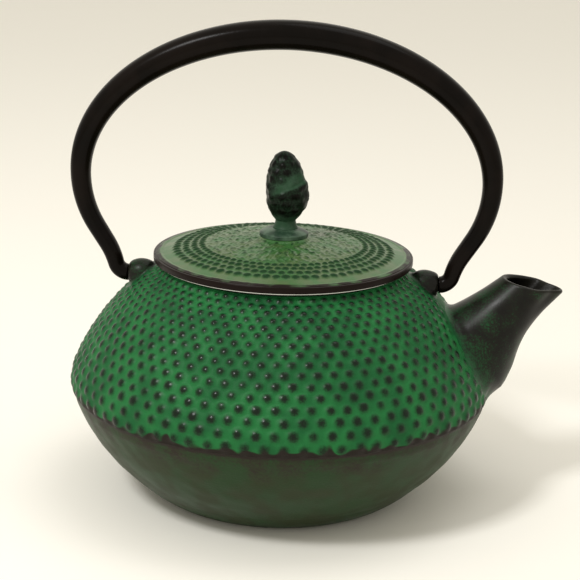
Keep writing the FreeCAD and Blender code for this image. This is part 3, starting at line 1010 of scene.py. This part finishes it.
    def build_shoulder(self) -> None:
        """Shoulder skin: the sunk profile turned, moved out by stud relief."""
        line = self.shoulder_line()
        lengths = np.linalg.norm(np.diff(line, axis=0), axis=1)
        climb = np.concatenate([[0], np.cumsum(lengths * 2 / (line[1:, 0] + line[:-1, 0]))])
        level = np.linspace(0, climb[-1], self.rows)
        rz = np.stack([np.interp(level, climb, line[:, i]) for i in (0, 1)], -1)
        points = spun(rz, self.columns)
        stud = self.studs.relief(angles(self.columns)[None, :], level[:, None], rz[:, :1])
        first, last = self.stud_fade
        top = smooth_step(self.rim[1] - first, self.rim[1] - last, rz[:, 1:])
        stud = stud * self.clear_of_horns(points) * top
        uneven = ripple(points, width=14.0, seed=5) * top - 1
        lift = stud * self.studs.height + self.shoulder_uneven * uneven
        points = points + lift[..., None] * self.normal(points)
        jag = self.bare_jag * ripple(points, width=7.0, seed=41)
        bare = smooth_step(self.bare_edge, 0.0, level[:, None] + jag)
        under = spun(np.array([[self.seam[0] - self.tuck, self.seam[1]]]), self.columns)
        points = np.concatenate([under, points])
        layers = {"stud": np.vstack([0 * stud[:1], stud]), "bare": np.vstack([bare[:1], bare])}
        thing = grid_object("studded_shoulder", points, layers=layers)
        dress(thing, SHOULDER_PAINT, Body.POT, "green_cast_iron", "pot_body")

    def clear_of_horns(self, points: np.ndarray) -> np.ndarray:
        """How much of the studs is left beside the spout and the ears.

        Args:
            points: places on the shoulder.

        Returns:
            A share from 0 to 1 for each point, by its distance from spout and hinge axis.
        """
        along = self.spout.basis()[2]
        away = points - np.array(self.spout.foot)
        from_spout = np.linalg.norm(np.cross(away, along), axis=-1)
        beside = np.where(points[..., 0] > 0, smooth_step(*self.spout_clear, from_spout), 1.0)
        from_hinge = np.hypot(points[..., 1], points[..., 2] - self.ear_root[1])
        return beside * smooth_step(*self.ear_clear, from_hinge)

    def build_bowl(self) -> None:
        """Lower bowl: base, heel and side turned up to the groove under the shoulder."""
        line = dense(np.vstack([[[0.0, 0.0]], self.bowl_line()]), step=1.0)
        points = spun(line, self.bowl_columns)
        height = points[..., 2]
        rough = (smooth_step(*self.bowl_smooth_foot, height)
                 * smooth_step(self.seam[1], self.bowl_smooth_top, height))
        lift = self.bowl_uneven * rough * (ripple(points, width=8.0, seed=9) - 1)
        off_axis = np.array([TINY, 0, 0])
        points = points + lift[..., None] * self.normal(points + off_axis)
        height = points[..., 2]
        # Darker brown up the bowl: the wash's own brown, and just under the seam a band of painted
        # shade from the shoulder's overhang
        brown = (smooth_step(*self.brown_wide, height) + smooth_step(*self.brown_and_shade_band, height)) / 2
        thing = grid_object("bowl", points, layers={"root": brown})
        dress(thing, BOWL_IRON, Body.POT, "green_cast_iron", "pot_body")

    def build_inside(self) -> None:
        """Mouth rim and enamelled hollow, turned as one line from the rim to the floor."""
        lip_foot = (self.mouth_radius, MOUTH_HEIGHT - self.lip_depth)
        outline = [self.rim, (self.rim[0], MOUTH_HEIGHT), (self.mouth_radius, MOUTH_HEIGHT), lip_foot]
        rim_top = softened(outline, self.rim_round)[HALF_CORNER:-HALF_CORNER]
        curve = self.wall - self.shoulder_curve
        high = arc(lip_foot, self.inner_neck, curve, count=20)
        shoulder = arc(self.inner_neck, self.inner_belly, curve, count=40)
        bowl = arc(self.inner_belly, self.inner_heel, -self.inner_bowl_curve, count=60)
        floor = np.array([[self.base_radius, self.floor], [0.0, self.floor]])
        line = dense(np.vstack([rim_top, high[1:], shoulder[1:], bowl[1:], floor]), step=1.5)
        thing = grid_object("rim_and_enamel", spun(line, self.inside_columns))
        dress(thing, ENAMEL, Body.POT, "green_cast_iron", "pot_body", "mouth_land")


@dataclass
class Bail:
    """The bail: an oval rod from peg to peg over the lid.

    foot, side and top are the rod's width and depth where it starts, at the widest
    place of the arch and on top. The growths are shares of the way from foot to side.
    """

    foot_face: float = 60.3
    peg_radius: float = 2.5
    peg_length: float = 5.3
    peg_chamfer: float = 0.5
    peg_fillet: Pair = (0.3, 0.1)
    elbow: float = 5.0
    low_lean: float = 15.0
    low_curve: float = 30.0
    lean: float = 32.0
    straight: float = 7.4
    high_curve: float = 40.0
    rise: float = 54.59
    foot: Pair = (6.3, 6.8)
    foot_round: float = 0.5
    side: Pair = (7.76, 8.8)
    top: Pair = (11.18, 12.6)
    bend_growth: Pair = (0.05, 0.3)
    leg_growth: Pair = (0.45, 1.0)
    square: float = 0.9
    columns: int = 48
    elbow_rows: int = 14
    bend_rows: int = 10
    leg_rows: int = 24
    bow_rows: int = 60

    def centre_line(self) -> tuple[np.ndarray, np.ndarray, np.ndarray]:
        """One half of the rod: an elbow, two bends with a straight between, and half an oval.

        Returns:
            Places (x, z), the rod's lean from z towards x, and its share of the way
            from foot size (0) through side size (1) to top size (2).
        """
        low, lean = math.radians(self.low_lean), math.radians(self.lean)
        a = np.linspace(np.pi / 2, low, self.elbow_rows)
        elbow = np.stack([self.foot_face + self.elbow * np.cos(a),
                          HINGE_HEIGHT + self.elbow * (1 - np.sin(a))], -1)
        b = np.linspace(low, lean, self.bend_rows)[1:]
        bend = elbow[-1] + self.low_curve * np.stack(
            [np.cos(low) - np.cos(b), np.sin(b) - np.sin(low)], -1)
        high = bend[-1] + self.straight * np.array([np.sin(lean), np.cos(lean)])
        c = np.linspace(lean, 0, self.leg_rows)
        leg = high + self.high_curve * np.stack(
            [np.cos(c) - np.cos(lean), np.sin(lean) - np.sin(c)], -1)
        d = np.linspace(0, np.pi / 2, self.bow_rows)[1:]
        span, arch = leg[-1]
        bow = np.stack([span * np.cos(d), arch + self.rise * np.sin(d)], -1)
        bow_lean = -np.arctan2(span * np.sin(d), self.rise * np.cos(d))
        places = np.vstack([elbow, bend, leg, bow])
        leans = np.concatenate([a, b, c, bow_lean])
        sizes = np.concatenate([0 * a, np.linspace(*self.bend_growth, len(b)),
                                np.linspace(*self.leg_growth, len(c)), 1 + np.sin(d)])
        return places, leans, sizes

    def build(self) -> None:
        """Carry the oval section along both halves, and close it over the pegs.

        The section is (cos b, sin b) with both raised to the power square, a little
        fuller than an ellipse.
        """
        places, leans, sizes = self.centre_line()
        ovals = np.array([self.foot, self.side, self.top])
        half = np.stack([np.interp(sizes, np.arange(3), ovals[:, i]) for i in (0, 1)], -1) / 2
        end, peg, chamfer = -self.peg_length, self.peg_radius, self.peg_chamfer
        steps = np.array([[end, 0.0], [end, peg - chamfer], [end + chamfer, peg],
                          [-self.peg_fillet[0], peg], [0.0, peg + self.peg_fillet[1]]])
        peg_places = np.stack([self.foot_face + steps[:, 0], 0 * steps[:, 0] + HINGE_HEIGHT], -1)
        places = np.vstack([peg_places, places[:1], places])
        leans = np.concatenate([np.full(len(steps) + 1, np.pi / 2), leans])
        half = np.vstack([steps[:, [1, 1]], half[:1] - self.foot_round, half])
        places = np.vstack([places, places[-2::-1] * [-1, 1]])
        leans = np.concatenate([leans, -np.pi - leans[-2::-1]])
        half = np.vstack([half, half[-2::-1]])
        turn = angles(self.columns)
        wide, deep = (np.sign(f) * np.abs(f) ** self.square for f in (np.cos(turn), np.sin(turn)))
        out = wide[None, :] * half[:, :1]
        points = np.stack([places[:, :1] + out * np.cos(leans)[:, None],
                           deep[None, :] * half[:, 1:],
                           places[:, 1:] - out * np.sin(leans)[:, None]], -1)
        thing = grid_object("bail", points)
        dress(thing, BAIL_IRON, Body.BAIL, "black_iron", "bail_handle")


@dataclass
class Knob:
    """The pine cone knob: a closed bud on a neck, a little askew.

    The bud is an egg (R cos p, sin p) from the neck to the tip, with its belly at
    p = 0. At angle a its fold lies at the share fold + fold_slant cos a of the bud's
    height, and the skin under it stands out by fold_step + fold_lean cos a. A lump is
    height (1 - q^2)^2, where q is the distance from its middle in tiers and columns.
    Spans and widths on the bud are shares of its height.
    """

    neck_radius: float = 4.9
    neck_height: float = 3.2
    neck_curve: float = 7.0
    neck_aside: float = 0.5
    lean: float = 1.0
    bud_radius: float = 7.6
    bud_height: float = 26.6
    bud_belly: float = 11.0
    bud_foot: float = 0.86
    fold: float = 0.465
    fold_slant: float = 0.115
    fold_step: float = 0.55
    fold_lean: float = 0.55
    fold_width: float = 0.03
    fold_start: Pair = (0.0, 0.2)
    lump_height: float = 0.3
    lump_reach: float = 0.6
    lump_chance: float = 0.2
    lump_tall: Pair = (0.4, 0.8)
    lump_draw: int = 3
    lumps: int = 9
    tiers: int = 9
    rough_start: Pair = (0.03, 0.15)
    rough_end: Pair = (1.0, 0.9)
    coarse: float = 0.3
    fine: float = 0.12
    green_turn: float = 1.05
    green_side: Pair = (0.1, 1.0)
    green_height: Pair = (0.26, 0.03)
    dark_start: Pair = (0.0, 0.12)
    dark: float = 0.7
    dark_lump: float = 0.2
    dark_green: float = 0.6
    columns: int = 108

    def line(self, foot: float) -> np.ndarray:
        """Profile of the neck and the egg from the seat to the tip.

        Args:
            foot: height of the seat's top.

        Returns:
            Points with radius and height.
        """
        bud = foot + self.neck_height
        low = np.linspace(-math.asin(self.bud_foot), 0, 40)
        high = np.linspace(0, np.pi / 2, 90)[1:]
        up = np.concatenate([
            bud + self.bud_belly * (1 + np.sin(low) / self.bud_foot),
            bud + self.bud_belly + (self.bud_height - self.bud_belly) * np.sin(high)])
        egg = np.stack([self.bud_radius * np.cos(np.concatenate([low, high])), up], -1)
        neck = arc((self.neck_radius, foot), tuple(egg[0]), -self.neck_curve, count=14)
        line = np.vstack([[[0.0, foot]], neck, egg[1:]])
        line[-1, 0] = 0.0
        return line

    def lump(self, share: np.ndarray, turn: np.ndarray) -> np.ndarray:
        """Staggered tiers of low lumps that chance moves and makes higher or lower.

        Args:
            share: shares of the bud's height, one for each row.
            turn: angles about the axis.

        Returns:
            Height of the lumps, from 0 to about 1.
        """
        level = share * self.tiers - 0.5
        tier = np.clip(np.round(level), 0, self.tiers - 1)
        place = turn * self.lumps / (2 * np.pi) - 0.5 * np.mod(tier, 2)
        column = np.mod(np.round(place), self.lumps)
        shift = self.lump_chance * (scatter(tier, column) - 0.5)
        raised = self.lump_chance * (scatter(column, tier) - 0.5)
        aside = (place - np.round(place) + shift) / self.lump_reach
        above = (level - tier + raised) / self.lump_reach
        least, more = self.lump_tall
        tall = least + more * scatter(tier + self.lump_draw, column)
        return np.clip(1 - aside ** 2 - above ** 2, 0, 1) ** 2 * tall

    def build(self, foot: float) -> None:
        """Make and dress the knob: the turned line with its fold, lumps and unevenness.

        Its stud layer is high where the paint is rubbed dark, and low in the hollow over
        the fold on one side, which stays green.

        Args:
            foot: height of the seat's top.
        """
        line = self.line(foot)
        points = spun(line, self.columns)
        turn = angles(self.columns)
        share = (line[:, 1:] - foot - self.neck_height) / self.bud_height
        lump = self.lump(share, turn)
        on_bud = smooth_step(*self.rough_start, share) * smooth_step(*self.rough_end, share)
        fold = self.fold + self.fold_slant * np.cos(turn)
        under = (smooth_step(self.fold_width, -self.fold_width, share - fold)
                 * smooth_step(*self.fold_start, share))
        step = (self.fold_step + self.fold_lean * np.cos(turn)) * under
        uneven = (self.coarse * ripple(points, width=6.0, seed=31)
                  + self.fine * ripple(points, width=2.6, seed=32))
        out = np.stack([np.cos(turn), np.sin(turn)], -1)
        points[..., :2] += ((self.lump_height * lump + uneven) * on_bud + step)[..., None] * out
        points[..., 0] += self.neck_aside - self.lean * np.clip(share, 0, 1) ** 2
        green = (smooth_step(*self.green_height, share - fold)
                 * smooth_step(-self.fold_width, self.fold_width, share - fold)
                 * smooth_step(*self.green_side, np.cos(turn + self.green_turn)))
        dark = smooth_step(*self.dark_start, share) * (
            self.dark + self.dark_lump * lump - self.dark_green * green)
        thing = grid_object("pine_cone_knob", points, layers={"stud": dark, "bare": 0 * dark})
        dress(thing, KNOB_IRON, Body.LID, "knob_iron", "knob")


@dataclass
class Lid:
    """The lid with its studs, its skirt, and the pine cone knob on its seat.

    The top is sunk so that its relief stays inside the box of the solids. The band is
    the plain ring outside the studs, and the disc the wrinkled round inside them.
    """

    radius: float = 50.0
    under: float = 91.8
    edge_top: float = 94.5
    edge_drop: float = 0.3
    edge_round: Pair = (1.0, 0.25)
    top: float = 101.1
    dome_curve: float = 252.0
    dome_drop: float = 0.2
    thickness: float = 4.6
    hole: float = 3.1
    pad_radius: float = 10.2
    pad_round: Pair = (0.3, 0.05)
    skirt: Pair = (36.3, 38.3)
    skirt_foot: float = 85.8
    corner: float = 0.5
    sink: float = 0.75
    band: float = 46.4
    band_step: float = 0.35
    band_rise: float = 0.8
    bare_rise: float = 1.2
    bare_top: float = 0.8
    studs: Studs = Studs(in_row=72, first_row=0.0, row_step=0.0895, rows=4, height=0.75,
                         width_share=1.3)
    first_ring: float = 41.2
    disc_radius: float = 30.2
    disc_rise: float = 1.0
    disc_lift: float = 0.3
    coarse: float = 0.22
    fine: float = 0.1
    wrinkle_waves: int = 24
    disc_worn: float = 0.08
    # Painted shade: how much the wrinkles darken the paint, drawing their light and dark streaks
    wrinkle_shade: float = 1.4
    columns: int = 480
    rows: int = 120
    seat_radius: float = 9.4
    seat_chamfer: float = 0.2
    seat_edge: float = 1.4
    seat_height: float = 3.2
    seat_top_radius: float = 5.0
    seat_curve: float = 9.0
    seat_columns: int = 96
    knob: Knob = field(default_factory=Knob)

    def build(self) -> None:
        """Make and dress the lid and what is riveted to it."""
        self.build_disc()
        self.build_seat()
        self.knob.build(self.top + self.seat_height)
        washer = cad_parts["knob_washer"]
        washer.data.materials.clear()
        washer.data.materials.append(BAIL_IRON.material())

    def underside(self) -> np.ndarray:
        """Profile of the lid from its hole over the skirt to the rounded edge of its top.

        Returns:
            Points with radius and height.
        """
        below = self.top - self.thickness
        sag = self.skirt[0] ** 2 / (2 * self.dome_curve)
        inwards, down = self.edge_round
        outline = softened([
            (self.hole, below), (self.pad_radius, below), (self.skirt[0], below - sag),
            (self.skirt[0], self.skirt_foot), (self.skirt[1], self.skirt_foot),
            (self.skirt[1], self.under), (self.radius, self.under),
            (self.radius, self.edge_top - self.edge_drop),
            (self.radius - inwards, self.edge_top - down), (self.hole, self.top)], self.corner)
        return outline[HALF_CORNER:-CORNER_STEPS - HALF_CORNER]

    def crown(self) -> np.ndarray:
        """Profile of the top from its edge to the seat: an arc, sunk, with a higher band.

        Returns:
            Points with radius and height.
        """
        across = np.linspace(self.radius - self.edge_round[0], self.pad_radius, self.rows)
        dome = arc((self.radius, self.edge_top), (self.pad_radius, self.top - self.dome_drop),
                   self.dome_curve, count=200)[::-1]
        height = np.interp(across, dome[:, 0], dome[:, 1]) - self.sink
        height += self.band_step * smooth_step(self.band, self.band + self.band_rise, across)
        return np.stack([across, height], -1)

    def build_disc(self) -> None:
        """One closed line turned, with studs and wrinkles added to the height of its top."""
        crown = self.crown()
        inwards, down = self.pad_round
        pad = np.array([[self.pad_radius - inwards, self.top - down], [self.hole, self.top - down]])
        line = np.vstack([dense(self.underside(), step=2.0), crown, pad])
        points = spun(line, self.columns)
        on_top = np.zeros((len(line), 1), bool)
        on_top[-len(crown) - len(pad):-len(pad)] = True
        turn, away = angles(self.columns), line[:, :1]
        stud = self.studs.relief(turn[None, :], np.log(self.first_ring / away), away) * on_top
        disc = smooth_step(self.disc_radius, self.disc_radius - self.disc_rise, away) * on_top
        wrinkle = (self.coarse * ripple(points, width=3.2, seed=21, waves=self.wrinkle_waves)
                   + self.fine * ripple(points, width=1.7, seed=22, waves=self.wrinkle_waves))
        points[..., 2] += self.studs.height * stud + disc * (self.disc_lift + wrinkle)
        bare = smooth_step(self.band, self.band + self.bare_rise, away) + 0 * turn
        bare = bare * np.where(on_top, self.bare_top, 1.0)
        # The worn layer: worn paint on the stud tips, a darker disc, and painted shade along the
        # wrinkles
        worn = np.clip(stud + disc * (self.disc_worn + self.wrinkle_shade * wrinkle), 0, 1)
        thing = grid_object("lid_casting", points, closed_rows=True,
                            layers={"stud": worn, "bare": bare})
        dress(thing, LID_PAINT, Body.LID, "lid_cast_iron", "lid", "lid_skirt")

    def build_seat(self) -> None:
        """Domed plate under the knob: flat foot, low edge and a round top, turned."""
        high = self.top + self.seat_height
        dome = arc((self.seat_radius, self.top + self.seat_edge), (self.seat_top_radius, high),
                   self.seat_curve, count=16)
        line = np.vstack([[[self.hole, self.top]],
                          [[self.seat_radius - self.seat_chamfer, self.top]],
                          [[self.seat_radius, self.top + self.seat_chamfer]], dome,
                          [[self.hole, high]]])
        points = spun(dense(line, step=0.6, closed=True), self.seat_columns)
        thing = grid_object("seat", points, closed_rows=True)
        dress(thing, SEAT_PAINT, Body.LID, "knob_iron", "knob_seat")


@dataclass
class TeaBasket:
    """Steel tea basket: pressed rim, woven sleeve and floor, and a clamping ring.

    The weave is drawn at 2 mm, coarser than real tea mesh, so that it shows. sleeve
    is its radius at the floor and at the collar's foot.
    """

    sheet: float = 0.6
    sheet_round: float = 0.28
    flange_radius: float = 49.0
    collar: Pair = (40.3, 40.9)
    collar_foot: float = 80.2
    sleeve_top: float = 85.2
    floor_height: float = 45.4
    floor_gap: float = 0.65
    sleeve: Pair = (36.0, 40.25)
    ring_inner: float = 32.4
    ring_lip: float = 4.0
    ring_gap: float = 0.05
    wire: float = 0.14
    pitch: float = 2.0
    floor_points: int = 61
    columns: int = 192

    def build(self) -> None:
        """Make and dress the rim, the ring, the sleeve and the floor."""
        top = MOUTH_HEIGHT + self.sheet
        rim = [(self.collar[0], self.collar_foot), (self.collar[1], self.collar_foot),
               (self.collar[1], MOUTH_HEIGHT), (self.flange_radius, MOUTH_HEIGHT),
               (self.flange_radius, top), (self.collar[0], top)]
        self.turned("basket_rim", rim, "infuser_rim")
        taper = (self.sleeve[1] - self.sleeve[0]) / (self.collar_foot - self.floor_height)
        lean = self.ring_lip * taper
        lip = self.sleeve[0] + self.ring_gap
        under, lip_top = self.floor_height - self.sheet, self.floor_height + self.ring_lip
        ring = [(self.ring_inner, under), (lip + self.sheet, under),
                (lip + self.sheet, self.floor_height), (lip + self.sheet + lean, lip_top),
                (lip + lean, lip_top), (lip, self.floor_height),
                (self.ring_inner, self.floor_height)]
        self.turned("basket_ring", ring, "infuser_base_ring")
        self.build_sleeve()
        self.build_floor()

    def turned(self, name: str, corners: list[Pair], node: str) -> None:
        """Turn a sheet's outline with its corners rounded, and dress it as sheet steel.

        Args:
            name: name of the piece.
            corners: the outline's radii and heights in order.
            node: CAD node that it stands for.
        """
        line = dense(softened(corners, self.sheet_round), step=1.2, closed=True)
        thing = grid_object(name, spun(line, self.columns), closed_rows=True)
        dress(thing, SHEET_STEEL, Body.BASKET, "basket_steel", node)

    def build_sleeve(self) -> None:
        """Plain weave round the sleeve: uprights and rings pass in front in turn.

        A wire sways by its own radius about the middle of the sheet, along a cosine
        that turns over at each crossing.
        """
        rows = int((self.sleeve_top - self.floor_height) / self.pitch)
        uprights = 2 * int(np.pi * self.sleeve[0] / self.pitch)
        up = np.array([0, 0, 1.0])
        level = np.linspace(0, rows, rows * 2 + 1)
        height = self.floor_height + self.wire + level / rows * (
            self.sleeve_top - self.floor_height - 2 * self.wire)
        base = np.interp(height, [self.floor_height, self.collar_foot], self.sleeve) - self.sheet / 2
        number = np.arange(uprights)
        angle = angles(uprights)
        sway = self.wire * np.cos(np.pi * (level[None, :] + number[:, None]))
        flat = np.stack([np.cos(angle), np.sin(angle), 0 * angle], -1)[:, None]
        across = flat + 0 * height[None, :, None]
        paths = (base + sway)[..., None] * across + height[None, :, None] * up
        wires = wire_object("sleeve_uprights", paths, across, self.wire, closed=False)
        dress(wires, WIRE_STEEL, Body.BASKET, "basket_steel", "infuser_wall")
        order = np.arange(1, rows)
        steps = np.arange(uprights * 2)
        turn = angles(uprights * 2)
        sway = -self.wire * np.cos(np.pi * (steps[None, :] / 2 + order[:, None]))
        across = np.stack([np.cos(turn), np.sin(turn), 0 * turn], -1)[None] + 0 * order[:, None, None]
        paths = (base[order * 2, None] + sway)[..., None] * across
        paths = paths + height[order * 2, None, None] * up
        rings = wire_object("sleeve_rings", paths, across, self.wire, closed=True)
        dress(rings, WIRE_STEEL, Body.BASKET, "basket_steel", "infuser_wall")

    def build_floor(self) -> None:
        """Plain weave across the floor: two sets of straight wires cut to its circle."""
        edge = self.sleeve[0] - self.floor_gap
        count = int(edge / self.pitch)
        place = np.arange(-count, count + 1) * self.pitch
        half = np.sqrt(edge * edge - place * place)
        run = np.linspace(-1, 1, self.floor_points)[None, :] * half[:, None]
        still = place[:, None] + 0 * run
        level = self.floor_height + self.sheet / 2
        for name, sides, square in (("floor_wires_along", (run, still), 1),
                                    ("floor_wires_across", (still, run), 0)):
            phase = np.arange(len(place))[:, None] + 1 - square
            lift = level + self.wire * np.cos(np.pi * (run / self.pitch + phase))
            paths = np.stack([*sides, lift], -1)
            across = np.zeros_like(paths)
            across[..., square] = 1.0
            thing = wire_object(name, paths, across, self.wire, closed=False)
            dress(thing, WIRE_STEEL, Body.BASKET, "basket_steel", "infuser_base")


@dataclass(frozen=True)
class Lamp:
    """A square lamp: its place and size in metres, and its power in watts."""

    name: str
    place: Point
    size: float
    power: float


@dataclass
class Studio:
    """Pale floor, even white surroundings, two soft lamps and the photograph's camera.

    The camera stands out along a level line at an angle from -y, and looks down by
    its pitch. Focal length is in pixels of the 580 pixel frame. The floor's reach and
    the point that lamps are aimed at are in metres.
    """

    floor_colour: str = "#fbf8f0"
    floor_rough: float = 0.8
    floor_reach: float = 4.0
    wall_colour: str = "#fffaee"
    wall_light: float = 0.74
    lamps: tuple[Lamp, ...] = (Lamp("key_lamp", (-0.5, -0.6, 0.95), size=0.22, power=6.8),
                               Lamp("top_lamp", (0.25, 0.1, 1.2), size=0.6, power=2.0))
    aim: Point = (0.0, 0.0, 0.08)
    focal_pixels: float = 1600.0
    frame_pixels: float = 580.0
    sensor: float = 36.0
    distance: float = 598.0
    height: float = 250.1
    azimuth: float = 3.4
    pitch: float = 15.94
    roll: float = 1.57
    pan: float = 0.28

    def build(self) -> None:
        """Set the stage, the light and the camera."""
        bpy.context.scene.view_settings.view_transform = "Standard"
        self.build_floor()
        self.build_world()
        for lamp in self.lamps:
            self.build_lamp(lamp)
        self.build_camera()

    def build_floor(self) -> None:
        """A wide level floor at z = 0."""
        corners = [(x * self.floor_reach, y * self.floor_reach, 0)
                   for x, y in ((-1, -1), (1, -1), (1, 1), (-1, 1))]
        mesh = bpy.data.meshes.new("floor")
        mesh.from_pydata(corners, [], [(0, 1, 2, 3)])
        floor = linked("floor", mesh)
        material = bpy.data.materials.new("pale paper")
        material.use_nodes = True
        shader = material.node_tree.nodes["Principled BSDF"]
        shader.inputs["Base Color"].default_value = linear(self.floor_colour)
        shader.inputs["Roughness"].default_value = self.floor_rough
        mesh.materials.append(material)

    def build_world(self) -> None:
        """White to the camera and in reflections, a plain level of light elsewhere."""
        world = bpy.data.worlds.new("white room")
        bpy.context.scene.world = world
        world.use_nodes = True
        tree = world.node_tree
        path = add_node(tree, "ShaderNodeLightPath").outputs
        seen = add_node(tree, "ShaderNodeMath", {0: path["Is Camera Ray"], 1: path["Is Glossy Ray"]},
                        operation="MAXIMUM").outputs[0]
        level = add_node(tree, "ShaderNodeMapRange", {
            "Value": seen, "To Min": self.wall_light, "To Max": 1.0}).outputs[0]
        background = tree.nodes["Background"]
        background.inputs["Color"].default_value = linear(self.wall_colour)
        tree.links.new(level, background.inputs["Strength"])

    def build_lamp(self, lamp: Lamp) -> None:
        """Put up a lamp that points at the pot.

        Args:
            lamp: what it is and where it stands.
        """
        light = bpy.data.lights.new(lamp.name, "AREA")
        light.size = lamp.size
        light.energy = lamp.power
        away = unit(np.array(lamp.place) - np.array(self.aim))
        side = unit(np.cross([0, 0, 1], away))
        self.placed(lamp.name, light, np.stack([side, np.cross(away, side), away], 1), lamp.place)

    def build_camera(self) -> None:
        """Place the camera by its fitted angles."""
        az, pitch, roll, pan = np.radians([self.azimuth, self.pitch, self.roll, self.pan])
        up = np.array([0, 0, 1.0])
        ahead = np.array([-np.sin(az), np.cos(az), 0])
        right = np.array([np.cos(az), np.sin(az), 0])
        level = np.cos(pan) * ahead + np.sin(pan) * right
        right = np.cos(pan) * right - np.sin(pan) * ahead
        view = np.cos(pitch) * level - np.sin(pitch) * up
        over = np.cross(right, view)
        turn = np.stack([np.cos(roll) * right + np.sin(roll) * over,
                         np.cos(roll) * over - np.sin(roll) * right, -view], 1)
        data = bpy.data.cameras.new("photo_camera")
        data.sensor_width = self.sensor
        data.lens = self.focal_pixels * self.sensor / self.frame_pixels
        place = (self.height * up - self.distance * ahead) * MM
        bpy.context.scene.camera = self.placed("photo_camera", data, turn, place)

    def placed(self, name: str, data: bpy.types.ID, turn: np.ndarray,
               place: Point | np.ndarray) -> bpy.types.Object:
        """Put a lamp or a camera into the scene.

        Args:
            name: name of the object.
            data: the light or the camera.
            turn: its own axes x, y and z as columns.
            place: where it stands in metres.

        Returns:
            The new object.
        """
        thing = bpy.data.objects.new(name, data)
        bpy.context.scene.collection.objects.link(thing)
        matrix = np.eye(4)
        matrix[:3, :3] = turn
        matrix[:3, 3] = place
        thing.matrix_world = Matrix(matrix.tolist())
        return thing


def main() -> None:
    """Build the stage and every sub-assembly in order."""
    logging.basicConfig(level=logging.INFO)
    for part in (Studio(), Pot(), Bail(), TeaBasket(), Lid()):
        LOG.info("building %s", type(part).__name__)
        part.build()


if __name__ == "__main__":
    main()
